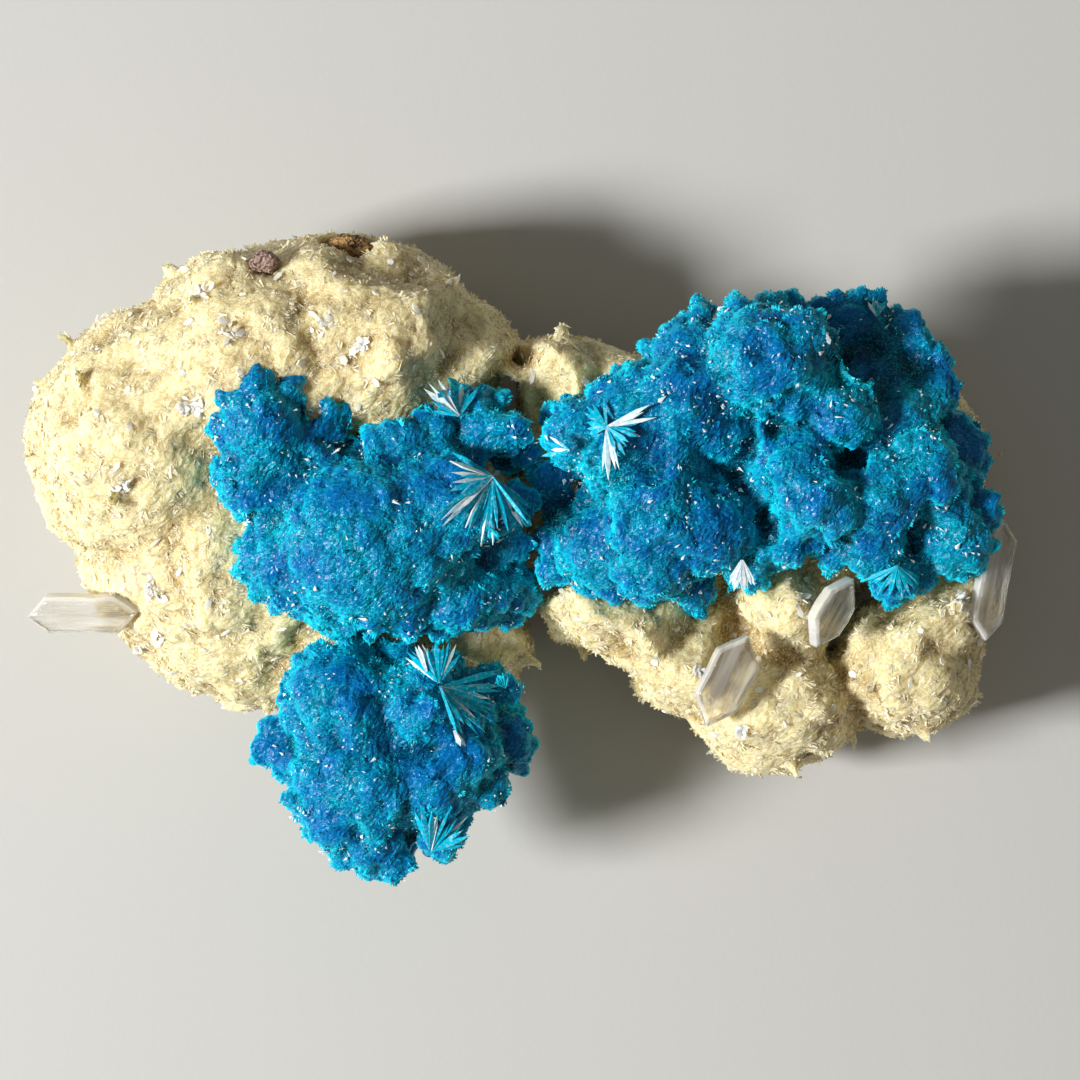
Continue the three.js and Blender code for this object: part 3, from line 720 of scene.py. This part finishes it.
# Painted shade: the colour darkens to near black where the mesh is hollow.
tip_less_crease_shade = add_node(tree, "ShaderNodeMath", {
    0: tip.outputs["Fac"], 1: hollow.outputs["Fac"]}, operation="SUBTRACT")
free_and_unshaded = add_node(tree, "ShaderNodeMapRange", {
    "Value": tip_less_crease_shade.outputs[0], "From Min": -0.3, "From Max": 0.35})
tealness = add_node(tree, "ShaderNodeMapRange", {
    "Value": clouds.outputs["Fac"], "From Min": 0.4, "From Max": 0.7})
open_colour = add_node(tree, "ShaderNodeMix", {
    0: tealness.outputs[0], 6: linear(CAVANSITE_BLUE), 7: linear(CAVANSITE_TEAL)},
    data_type="RGBA")
blue = add_node(tree, "ShaderNodeMix", {
    0: free_and_unshaded.outputs[0], 6: linear(CAVANSITE_DEEP_BLUE_AND_SHADE), 7: open_colour.outputs[2]},
    data_type="RGBA")
# Painted highlights: the lit edges of the needles are painted pale along one contour of their pattern,
# here denser, there thinner, and the balls' steep sides are painted pale as a glow.
painted_edge_highlight = contour(tree, needles.outputs["Fac"], 0.54, 0.028)
painted_lit_patches = add_node(tree, "ShaderNodeMapRange", {
    "Value": clouds.outputs["Fac"], "From Min": 0.4, "From Max": 0.6, "To Min": 0.35})
painted_end_highlights = add_node(tree, "ShaderNodeMath", {
    0: painted_edge_highlight.outputs[0], 1: painted_lit_patches.outputs[0]}, operation="MULTIPLY")
painted_light_share = add_node(tree, "ShaderNodeMath", {
    0: rim.outputs["Fac"], 1: painted_end_highlights.outputs[0]}, operation="ADD", use_clamp=True)
coloured = add_node(tree, "ShaderNodeMix", {
    0: painted_light_share.outputs[0], 6: blue.outputs[2], 7: linear(CAVANSITE_PALE_AND_PAINTED_LIGHT)}, data_type="RGBA")
stippled = add_node(tree, "ShaderNodeMath", {
    0: shade.outputs["Fac"], 1: needles.outputs["Fac"]}, operation="ADD")
brightness = add_node(tree, "ShaderNodeMapRange", {
    "Value": stippled.outputs[0], "From Min": 0.6, "From Max": 1.4, "To Min": 0.8, "To Max": 1.2})
varied = add_node(tree, "ShaderNodeHueSaturation", {
    "Color": coloured.outputs[2], "Value": brightness.outputs[0]})
nap = add_node(tree, "ShaderNodeBump", {
    "Height": needles.outputs["Fac"], "Strength": 0.6, "Distance": 0.15 * MM})
shader = add_node(tree, "ShaderNodeBsdfPrincipled", {
    "Base Color": varied.outputs[0], "Roughness": 0.2, "IOR": 1.54,
    "Specular IOR Level": 0.15, "Normal": nap.outputs[0]})
add_node(tree, "ShaderNodeOutputMaterial", {"Surface": shader.outputs[0]})


def tufts(spots, stems, across, needles, flare, length, width, thickness, sunk):
    """Needles that flare from one root under each spot: roots, sides, ways, sizes."""
    fan_way = np.cross(stems, across)
    count = len(spots)
    steps = np.linspace(-1, 1, needles) + rng.normal(size=(count, needles)) / needles
    layers = rng.uniform(-1, 1, (count, needles))
    along = normalised(stems[:, None] + across[:, None] * (flare[0] * steps)[..., None]
                       + fan_way[:, None] * (flare[1] * layers)[..., None])
    roots = (spots - stems * sunk)[:, None] + 0 * along
    reach = (1 - 0.2 * steps ** 2) * rng.uniform(0.94, 1.04, steps.shape)
    sizes = np.stack([width * rng.uniform(0.7, 1.3, steps.shape),
                      thickness * rng.uniform(0.7, 1.3, steps.shape), length * reach], axis=-1)
    sides = normalised(np.cross(fan_way[:, None] + 0.2 * rng.normal(size=along.shape), along))
    return roots, sides, along, sizes


def clipped(middle, spread, shape):
    """Random numbers round a middle, kept between 0 and 1."""
    return np.clip(middle + rng.normal(0, spread, shape), 0, 1)


def top_of(surface, x, y):
    """The highest point of a surface over a place in millimetres, or the nearest to it."""
    above = Vector((x * MM, y * MM, HIGH_ABOVE))
    level = Vector((x * MM, y * MM, ROSETTE_LEVEL))
    return surface.ray_cast(above, DOWN)[0] or surface.find_nearest(level)[0]


def clear_of_druse(spots, depth):
    """True for each place that the druse doesn't cover by more than a depth."""
    return np.array([not is_inside(druse_surface, spot, depth) for spot in spots])


def weigh(piece, name, weights):
    """Stores one weight per vertex as a named group, which a modifier can follow."""
    group = piece.vertex_groups.new(name=name)
    for i, weight in enumerate(weights):
        group.add([i], float(weight), "REPLACE")


heart_surfaces = {}
for node, balls in BALLS.items():
    heart = copy_of(node, f"{node}_heart")
    apply_modifier(heart, "REMESH", mode="VOXEL", voxel_size=2 * ROSETTE_VOXEL)
    apply_modifier(heart, "DISPLACE", strength=-ROSETTE_SHRINK, mid_level=0.0)
    surface = surface_of(heart)
    backing = []
    for x, y, radius in RIM_BALLS[node]:
        nearest = min(balls, key=lambda ball: math.dist(ball[:2], (x, y)) - ball[2])
        inward = np.array(nearest[:2]) - (x, y)
        inward = inward / max(np.linalg.norm(inward), 0.1)
        backing.append((x + inward[0] * radius, y + inward[1] * radius, radius * RIM_BALL_BACKING))
    for x, y, radius in balls + RIM_BALLS[node] + backing:
        size = radius * MM - (LARGE_BALL_LESS if radius > LARGE_BALL else 0)
        height = max(top_of(surface, x, y).z,
                     top_of(druse_surface, x, y).z + BALL_ON_DRUSE * size)
        bpy.ops.mesh.primitive_ico_sphere_add(
            subdivisions=4, radius=size, scale=(1, 1, BALL_FLATNESS),
            location=(x * MM, y * MM, height - BALL_FLATNESS * size))
        heart.select_set(True)
        bpy.context.view_layer.objects.active = heart
        bpy.ops.object.join()
    apply_modifier(heart, "REMESH", mode="VOXEL", voxel_size=ROSETTE_VOXEL)
    apply_modifier(heart, "SMOOTH", factor=0.5, iterations=3)
    places = read_vectors(heart, "co")
    facing_up = np.clip(read_vectors(heart, "normal")[:, 2], 0, 1)
    # Painted shade: each crevice darkens towards its middle, as well as being carved down.
    painted_crevice_shade = np.zeros(len(places))
    for x, y, radius, sink in CREVICES:
        away = np.hypot(places[:, 0] - x * MM, places[:, 1] - y * MM) / (radius * MM)
        nearness = np.exp(-away ** 2)
        places[:, 2] -= sink * MM * facing_up * nearness
        painted_crevice_shade = np.maximum(painted_crevice_shade, nearness)
    move_vertices(heart, places)
    weigh(heart, "rims", steepness(read_vectors(heart, "normal")))
    swell(heart, f"{node}_tufts", **TUFT_KNOBS)
    swell(heart, f"{node}_lobes", **RIM_LOBES, group="rims")
    heart.vertex_groups.clear()
    # Painted shade darkens the creases, valleys and crevices, and the painted glow of the steep sides
    # fades in them.
    depth = np.maximum.reduce([hollows_of(heart, CREASE_ROUNDS),
                               hollows_of(heart, ROSETTE_VALLEY_ROUNDS), painted_crevice_shade])
    rims = steepness(read_vectors(heart, "normal"))
    set_values(heart, hollow=depth, tip=0.75, shade=0.5, rim=rims * (1 - 0.8 * depth))
    heart_surfaces[node] = surface_of(heart)

    for kind, spacing, lean, growth in (("velvet", VELVET_SPACING, VELVET_LEAN, VELVET),
                                        ("petals", PETAL_SPACING, PETAL_LEAN, PETAL)):
        spots, normals, hollow = spots_on(heart, spacing, rng)
        steep = steepness(normals)
        free = clear_of_druse(spots, COVER_DEPTH)
        if kind == "petals":
            free = free & (rng.random(len(spots)) < PETAL_SHARE_ABOVE + steep)
            free = free & (hollow < PETAL_HOLLOW_LIMIT)
        else:
            share = VELVET_SHARE_ABOVE + (VELVET_SHARE_BESIDE - VELVET_SHARE_ABOVE) * steep
            free = free & (rng.random(len(spots)) < share)
        spots, normals, hollow, steep = spots[free], normals[free], hollow[free], steep[free]
        count = len(spots)
        each = (count, growth["needles"])
        stems, across = leaning(normals, lean)
        # Painted light: growth is painted paler on steep sides, a painted glow, and a few needles of the
        # nap are painted bright as highlights, fewer in hollows, as painted shade.
        if kind == "petals":
            level = np.cross(normals, (0, 0, 1)) + 0.35 * rng.normal(size=(count, 3))
            across = normalised(np.cross(np.cross(stems, level), stems))
            rims = clipped(0.25 + 0.5 * steep[:, None] + rng.normal(0, 0.15, (count, 1)), 0.1, each)
        else:
            rims = clipped(0.5 * steep[:, None] ** 1.5 + 0.1, 0.08, each)
            highlighted = rng.random(each) < VELVET_HIGHLIGHT_SHARE
            rims = np.where(highlighted, rims + 0.8, rims) * (1 - 0.6 * hollow[:, None])
        roots, sides, along, sizes = tufts(spots, stems, across, **growth)
        piece = plant(f"{node}_{kind}", NEEDLE_SHAPE, roots, sides, along, sizes)
        shades = clipped(clipped(0.5, 0.15, (count, 1)), 0.15, each)
        crowd = np.broadcast_to(hollow[:, None], each)
        set_values(piece, len(NEEDLE_SHAPE[0]), rim=rims, shade=shades, hollow=crowd)
        add_to_part(piece, cavansite)
    roughen(heart, ROSETTE_GRAIN)
    add_to_part(heart, cavansite, node)


# ---------------------------------------------------------------- cavansite sprays
# Here and there a spray of longer, broader blades lies open on the rosettes. So thin, the
# blades are pale turquoise. Some blades, and streaks in others, are painted white: a painted
# highlight of the light that their flat faces mirror.
# A spray is given by its root seen from above, the bearings of its first and last blade from
# +X, the lengths and number of its blades and the share that is painted white as highlight.
# Millimetres, degrees.
SPRAYS = [
    ("cavansite_west", (-3.7, 9.2), (55, 165), (1.6, 2.4), 9, 0.1),
    ("cavansite_west", (-3.7, 9.2), (122, 141), (2.5, 2.9), 3, 1.0),
    ("cavansite_west", (-1.5, 5.2), (150, 212), (2.0, 3.2), 14, 0.1),
    ("cavansite_west", (-1.5, 5.2), (262, 322), (2.8, 4.0), 15, 0.1),
    ("cavansite_west", (-1.5, 5.2), (216, 268), (2.8, 4.6), 15, 0.35),
    ("cavansite_east", (5.9, 8.4), (285, 368), (1.6, 2.4), 9, 0.1),
    ("cavansite_east", (5.9, 8.4), (100, 200), (1.2, 1.9), 7, 0.1),
    ("cavansite_east", (5.9, 8.4), (8, 32), (2.4, 3.4), 5, 0.9),
    ("cavansite_east", (5.9, 8.4), (268, 288), (2.6, 3.4), 4, 0.9),
    ("cavansite_east", (3.5, 6.9), (140, 200), (1.0, 1.9), 7, 0.1),
    ("cavansite_south", (-5.0, -8.2), (55, 145), (2.2, 2.9), 13, 0.1),
    ("cavansite_south", (-5.8, -7.5), (108, 116), (1.7, 1.9), 2, 1.0),
    ("cavansite_south", (-4.9, -8.5), (292, 372), (2.8, 4.2), 18, 0.08),
    ("cavansite_south", (-4.0, -11.3), (290, 300), (1.1, 1.3), 2, 1.0),
    ("cavansite_east", (14.7, -0.2), (244, 300), (1.7, 2.3), 9, 0.95),
    ("cavansite_south", (-5.6, -19.4), (15, 110), (2.2, 3.4), 16, 0.05),
    ("cavansite_east", (24.9, -0.6), (205, 335), (1.6, 2.4), 14, 0.0),
    ("cavansite_east", (23.7, 15.8), (60, 120), (0.8, 1.2), 4, 0.3),
]
SPRAY_BLADE = {"width": 0.32 * MM, "thickness": 0.14 * MM, "lift": 0.3 * MM}
SPRAY_ROOT_ROOM = 1.1
SPRAY_CHECKS = (0.3, 0.5, 0.75, 1.0)
SPRAY_STEEPEST = -0.7
# The white is a painted highlight.
SPRAY_TURQUOISE = "#00b0d0"
SPRAY_HIGHLIGHT_WHITE = "#eefcff"

spray_blade, tree = new_material("cavansite_blade")
place = add_node(tree, "ShaderNodeTexCoord", {})
shade = add_node(tree, "ShaderNodeAttribute", {}, attribute_name="shade")
# Painted highlights: streaks of the blades turn white.
highlight_streaks = add_node(tree, "ShaderNodeTexNoise", {
    "Vector": place.outputs["Object"], "Scale": 1 / (0.25 * MM), "Detail": 2.0})
streak_highlight = add_node(tree, "ShaderNodeMapRange", {
    "Value": highlight_streaks.outputs["Fac"], "From Min": 0.35, "From Max": 0.7, "To Min": -0.3, "To Max": 0.2})
highlight_share = add_node(tree, "ShaderNodeMath", {
    0: shade.outputs["Fac"], 1: streak_highlight.outputs[0]}, operation="ADD", use_clamp=True)
coloured = add_node(tree, "ShaderNodeMix", {
    0: highlight_share.outputs[0], 6: linear(SPRAY_TURQUOISE), 7: linear(SPRAY_HIGHLIGHT_WHITE)},
    data_type="RGBA")
shader = add_node(tree, "ShaderNodeBsdfPrincipled", {
    "Base Color": coloured.outputs[2], "Roughness": 0.2, "IOR": 1.54,
    "Specular IOR Level": 0.1, "Subsurface Weight": 0.3, "Subsurface Radius": (0.3, 0.9, 1.0),
    "Subsurface Scale": 0.3 * MM})
add_node(tree, "ShaderNodeOutputMaterial", {"Surface": shader.outputs[0]})

grown = {node: [] for node in BALLS}
for node, (x, y), (first, last), (short, long), count, highlighted_share in SPRAYS:
    surface = heart_surfaces[node]
    bearings = np.radians(np.linspace(first, last, count) + rng.normal(0, 3, count))
    reach = rng.uniform(short, long, count)
    crest = max(top_of(surface, x + dx * SPRAY_ROOT_ROOM, y + dy * SPRAY_ROOT_ROOM).z
                for dx, dy in ((0, 0), (1, 0), (-1, 0), (0, 1), (0, -1)))
    root = np.array((x * MM, y * MM, crest + SPRAY_BLADE["lift"]))
    rises = []
    for bearing, length in zip(bearings, reach):
        lift = SPRAY_BLADE["lift"] * rng.uniform(0.7, 2.0)
        steps = [(length * share, top_of(surface, x + length * share * math.cos(bearing),
                                         y + length * share * math.sin(bearing)).z)
                 for share in SPRAY_CHECKS]
        rises.append(max(SPRAY_STEEPEST, *((top + lift - root[2]) / (step * MM) for step, top in steps)))
    ways = np.stack([np.cos(bearings), np.sin(bearings), rises], axis=1)
    tips = root + ways * reach[:, None] * MM
    along = normalised(tips - root)
    sizes = np.stack([SPRAY_BLADE["width"] * rng.uniform(0.6, 1.2, count),
                      SPRAY_BLADE["thickness"] * rng.uniform(0.7, 1.3, count),
                      np.linalg.norm(tips - root, axis=1)], axis=1)
    sides = normalised(np.cross((0, 0, 1) + 0.25 * rng.normal(size=(count, 3)), along))
    blade_highlights = np.where(rng.random(count) < highlighted_share, 0.9, rng.uniform(0.0, 0.12, count))
    grown[node].append((root + 0 * along, sides, along, sizes, blade_highlights))
for node, parts in grown.items():
    *forms, blade_highlights = (np.concatenate(values) for values in zip(*parts))
    spray = plant(f"{node}_sprays", BLADE_SHAPE, *forms)
    set_values(spray, len(BLADE_SHAPE[0]), shade=blade_highlights)
    add_to_part(spray, spray_blade)


# ---------------------------------------------------------------- stilbite flakes
# Loose flakes of stilbite, a few tenths of a millimetre long, lie over the rosettes. Their
# glossy faces catch the light, and their white and bluish white colour is partly painted
# glints. They gather in small drifts, each given by its place seen from above.
FLAKE_SPACING = 0.3 * MM
FLAKE_SHARE = 0.014
DRIFT_SHARE = 0.75
DRIFT_RADIUS = 0.5 * MM
SPOTS_PER_DRIFT = 120
FLAKE_COVER = 0.1 * MM
# The white is partly painted glints.
FLAKE_BLUISH = "#bfeaf2"
FLAKE_GLINT_WHITE = "#ffffff"
FLAKE = {"length": 0.26 * MM, "width": 0.13 * MM, "thickness": 0.08 * MM, "proud": 0.16 * MM}
DRIFTS = [
    (-13.0, 5.4), (-13.9, 5.1), (-12.1, 7.1), (-18.5, 3.0), (-17.7, 2.6), (24.2, 8.7), (24.5, 7.4),
    (24.3, 6.2), (25.2, 3.1), (24.5, 1.8), (25.1, -1.0), (27.9, 1.4), (18.9, 3.2), (16.0, 4.9),
    (19.4, 4.6), (20.0, 4.4), (21.5, 10.6), (16.6, 9.1), (12.6, 9.7), (11.6, 9.7), (12.5, 8.7),
    (13.7, 9.4), (9.8, 11.6), (7.1, 11.5), (12.8, 14.3), (9.8, 2.6), (4.3, 4.7), (-14.3, -8.9),
    (-12.3, -13.5), (-11.3, -19.8)]
flakes, tree = new_material("stilbite_flake")
place = add_node(tree, "ShaderNodeTexCoord", {})
painted_glints = add_node(tree, "ShaderNodeTexNoise", {
    "Vector": place.outputs["Object"], "Scale": 1 / (0.3 * MM), "Detail": 1.0})
coloured = add_node(tree, "ShaderNodeMix", {
    0: painted_glints.outputs["Fac"], 6: linear(FLAKE_BLUISH), 7: linear(FLAKE_GLINT_WHITE)}, data_type="RGBA")
shader = add_node(tree, "ShaderNodeBsdfPrincipled", {
    "Base Color": coloured.outputs[2], "Roughness": 0.15, "IOR": 1.5,
    "Subsurface Weight": 0.3, "Subsurface Radius": (1.0, 1.0, 1.0),
    "Subsurface Scale": 0.2 * MM})
add_node(tree, "ShaderNodeOutputMaterial", {"Surface": shader.outputs[0]})
for node in BALLS:
    heart = bpy.data.objects[f"{node}_heart"]
    spots, normals, hollow = spots_on(heart, FLAKE_SPACING, rng)
    centres = spots[rng.integers(len(spots), size=len(spots) // SPOTS_PER_DRIFT), :2]
    centres = np.concatenate([centres, np.array(DRIFTS) * MM])
    away = np.linalg.norm(spots[:, None, :2] - centres, axis=2).min(axis=1)
    share = FLAKE_SHARE + DRIFT_SHARE * np.exp(-(away / DRIFT_RADIUS) ** 2)
    chosen = clear_of_druse(spots, FLAKE_COVER) & (rng.random(len(spots)) < share)
    spots, normals = spots[chosen], normals[chosen]
    count = len(spots)
    along = normalised(np.cross(normals, rng.normal(size=(count, 3)))
                       + 0.3 * normals * rng.uniform(0, 1, (count, 1)))
    sides = normalised(np.cross(normals + 0.3 * rng.normal(size=(count, 3)), along))
    sizes = np.array([FLAKE["width"], FLAKE["thickness"], FLAKE["length"]])
    sizes = sizes * rng.uniform(0.6, 1.4, (count, 3)) * rng.lognormal(-0.25, 0.45, (count, 1))
    piece = plant(f"{node}_flakes", NEEDLE_SHAPE, spots + normals * FLAKE["proud"], sides, along,
                  sizes)
    add_to_part(piece, flakes)


# ---------------------------------------------------------------- clear stilbite
# Four larger tablets of clear stilbite lie on the druse. They are fluted along their length,
# their edges are a little broken, and cleavages make them cloudy in places.
TABLET_VOXEL = 0.09 * MM
FLUTES = {"spacing": 0.2 * MM, "height": 0.04 * MM}
EDGE_BREAKS = {"spacing": 0.9 * MM, "height": 0.12 * MM}
UNEVEN_STEPS = 40
STREAK_LENGTH = 3 * MM
STREAK_WIDTH = 0.25 * MM
TABLET_CLEAR = "#ffffff"
TABLET_CLOUD = "#f4efe2"

clear, tree = new_material("clear_stilbite")
lengthwise, crosswise, rim = (add_node(tree, "ShaderNodeAttribute", {}, attribute_name=name)
                              for name in ("lengthwise", "crosswise", "rim"))
grain = add_node(tree, "ShaderNodeCombineXYZ", {
    0: lengthwise.outputs["Fac"], 1: crosswise.outputs["Fac"]})
streaks = add_node(tree, "ShaderNodeTexNoise", {
    "Vector": grain.outputs[0], "Scale": 1.0, "Detail": 3.0})
cleavages = add_node(tree, "ShaderNodeTexNoise", {
    "Vector": grain.outputs[0], "Scale": 0.3, "Detail": 4.0, "Distortion": 0.4})
clarity = add_node(tree, "ShaderNodeMapRange", {
    "Value": cleavages.outputs["Fac"], "From Min": 0.35, "From Max": 0.65,
    "To Min": 1.0, "To Max": 0.75})
# The broken edges are frosted, so they stay white.
frosted = add_node(tree, "ShaderNodeMapRange", {
    "Value": rim.outputs["Fac"], "To Min": 1.0, "To Max": 0.5})
see_through = add_node(tree, "ShaderNodeMath", {
    0: clarity.outputs[0], 1: frosted.outputs[0]}, operation="MULTIPLY")
streaky = add_node(tree, "ShaderNodeMapRange", {
    "Value": streaks.outputs["Fac"], "From Min": 0.3, "From Max": 0.7})
coloured = add_node(tree, "ShaderNodeMix", {
    0: streaky.outputs[0], 6: linear(TABLET_CLOUD), 7: linear(TABLET_CLEAR)}, data_type="RGBA")
flutes = add_node(tree, "ShaderNodeBump", {
    "Height": streaks.outputs["Fac"], "Strength": 0.3, "Distance": 0.08 * MM})
shader = add_node(tree, "ShaderNodeBsdfPrincipled", {
    "Base Color": coloured.outputs[2], "Roughness": 0.1, "IOR": 1.5,
    "Transmission Weight": see_through.outputs[0], "Subsurface Weight": 0.8,
    "Subsurface Radius": (1.0, 1.0, 0.95), "Subsurface Scale": 0.5 * MM,
    "Normal": flutes.outputs[0]})
add_node(tree, "ShaderNodeOutputMaterial", {"Surface": shader.outputs[0]})


def uneven(distance, spacing, height):
    """A height at each distance along a line, which wanders from one spacing to the next."""
    steps = np.arange(-UNEVEN_STEPS, UNEVEN_STEPS + 1) * spacing
    return np.interp(distance, steps, rng.uniform(0, height, len(steps)))


for side in ("left", "front", "shaded", "right"):
    tablet = copy_of(f"stilbite_blade_{side}", f"clear_tablet_{side}")
    apply_modifier(tablet, "REMESH", mode="VOXEL", voxel_size=TABLET_VOXEL)
    places = read_vectors(tablet, "co")
    normals = read_vectors(tablet, "normal")
    middle = places.mean(axis=0)
    long_way, wide_way, thin_way = np.linalg.svd(places - middle, full_matrices=False)[2]
    length, width = (places - middle) @ long_way, (places - middle) @ wide_way
    flatness = np.abs(normals @ thin_way)
    on_faces = np.where(flatness[:, None] > 0.7, normals, 0)
    places -= on_faces * uneven(width, **FLUTES)[:, None]
    places -= np.outer(width / width.max() * uneven(length, **EDGE_BREAKS), wide_way)
    move_vertices(tablet, places)
    set_values(tablet, lengthwise=length / STREAK_LENGTH, crosswise=width / STREAK_WIDTH,
               rim=np.clip((0.9 - flatness) / 0.4, 0, 1))
    select_only(tablet)
    bpy.ops.object.shade_smooth()
    add_to_part(tablet, clear, f"stilbite_blade_{side}")


# ---------------------------------------------------------------- basalt
# Two small remnants of the basalt that the specimen grew in: a porous tan and dark brown one,
# and a purplish brown one. Their pores are lined with dark iron minerals.
BASALT_VOXEL = 0.14 * MM
BASALT_LUMPS = {"spacing": 1.3 * MM, "height": 0.1 * MM}
BASALT_GRAIN = 0.06 * MM
BASALT = {"large": ("#b08a54", "#24170c"), "small": ("#a98d80", "#4c352c")}

for size, (light, dark) in BASALT.items():
    rock, tree = new_material(f"basalt_{size}")
    place = add_node(tree, "ShaderNodeTexCoord", {})
    veins = add_node(tree, "ShaderNodeTexNoise", {
        "Vector": place.outputs["Object"], "Scale": 1 / (0.5 * MM), "Detail": 3.0,
        "Distortion": 2.0})
    pores = add_node(tree, "ShaderNodeMapRange", {
        "Value": veins.outputs["Fac"], "From Min": 0.38, "From Max": 0.52})
    coloured = add_node(tree, "ShaderNodeMix", {
        0: pores.outputs[0], 6: linear(dark), 7: linear(light)}, data_type="RGBA")
    pits = add_node(tree, "ShaderNodeBump", {
        "Height": veins.outputs["Fac"], "Strength": 0.5, "Distance": 0.2 * MM})
    shader = add_node(tree, "ShaderNodeBsdfPrincipled", {
        "Base Color": coloured.outputs[2], "Roughness": 0.7, "IOR": 1.5,
        "Normal": pits.outputs[0]})
    add_node(tree, "ShaderNodeOutputMaterial", {"Surface": shader.outputs[0]})
    chip = copy_of(f"basalt_chip_{size}", f"basalt_{size}")
    apply_modifier(chip, "REMESH", mode="VOXEL", voxel_size=BASALT_VOXEL)
    swell(chip, f"basalt_{size}", **BASALT_LUMPS)
    roughen(chip, BASALT_GRAIN)
    add_to_part(chip, rock, f"basalt_chip_{size}")
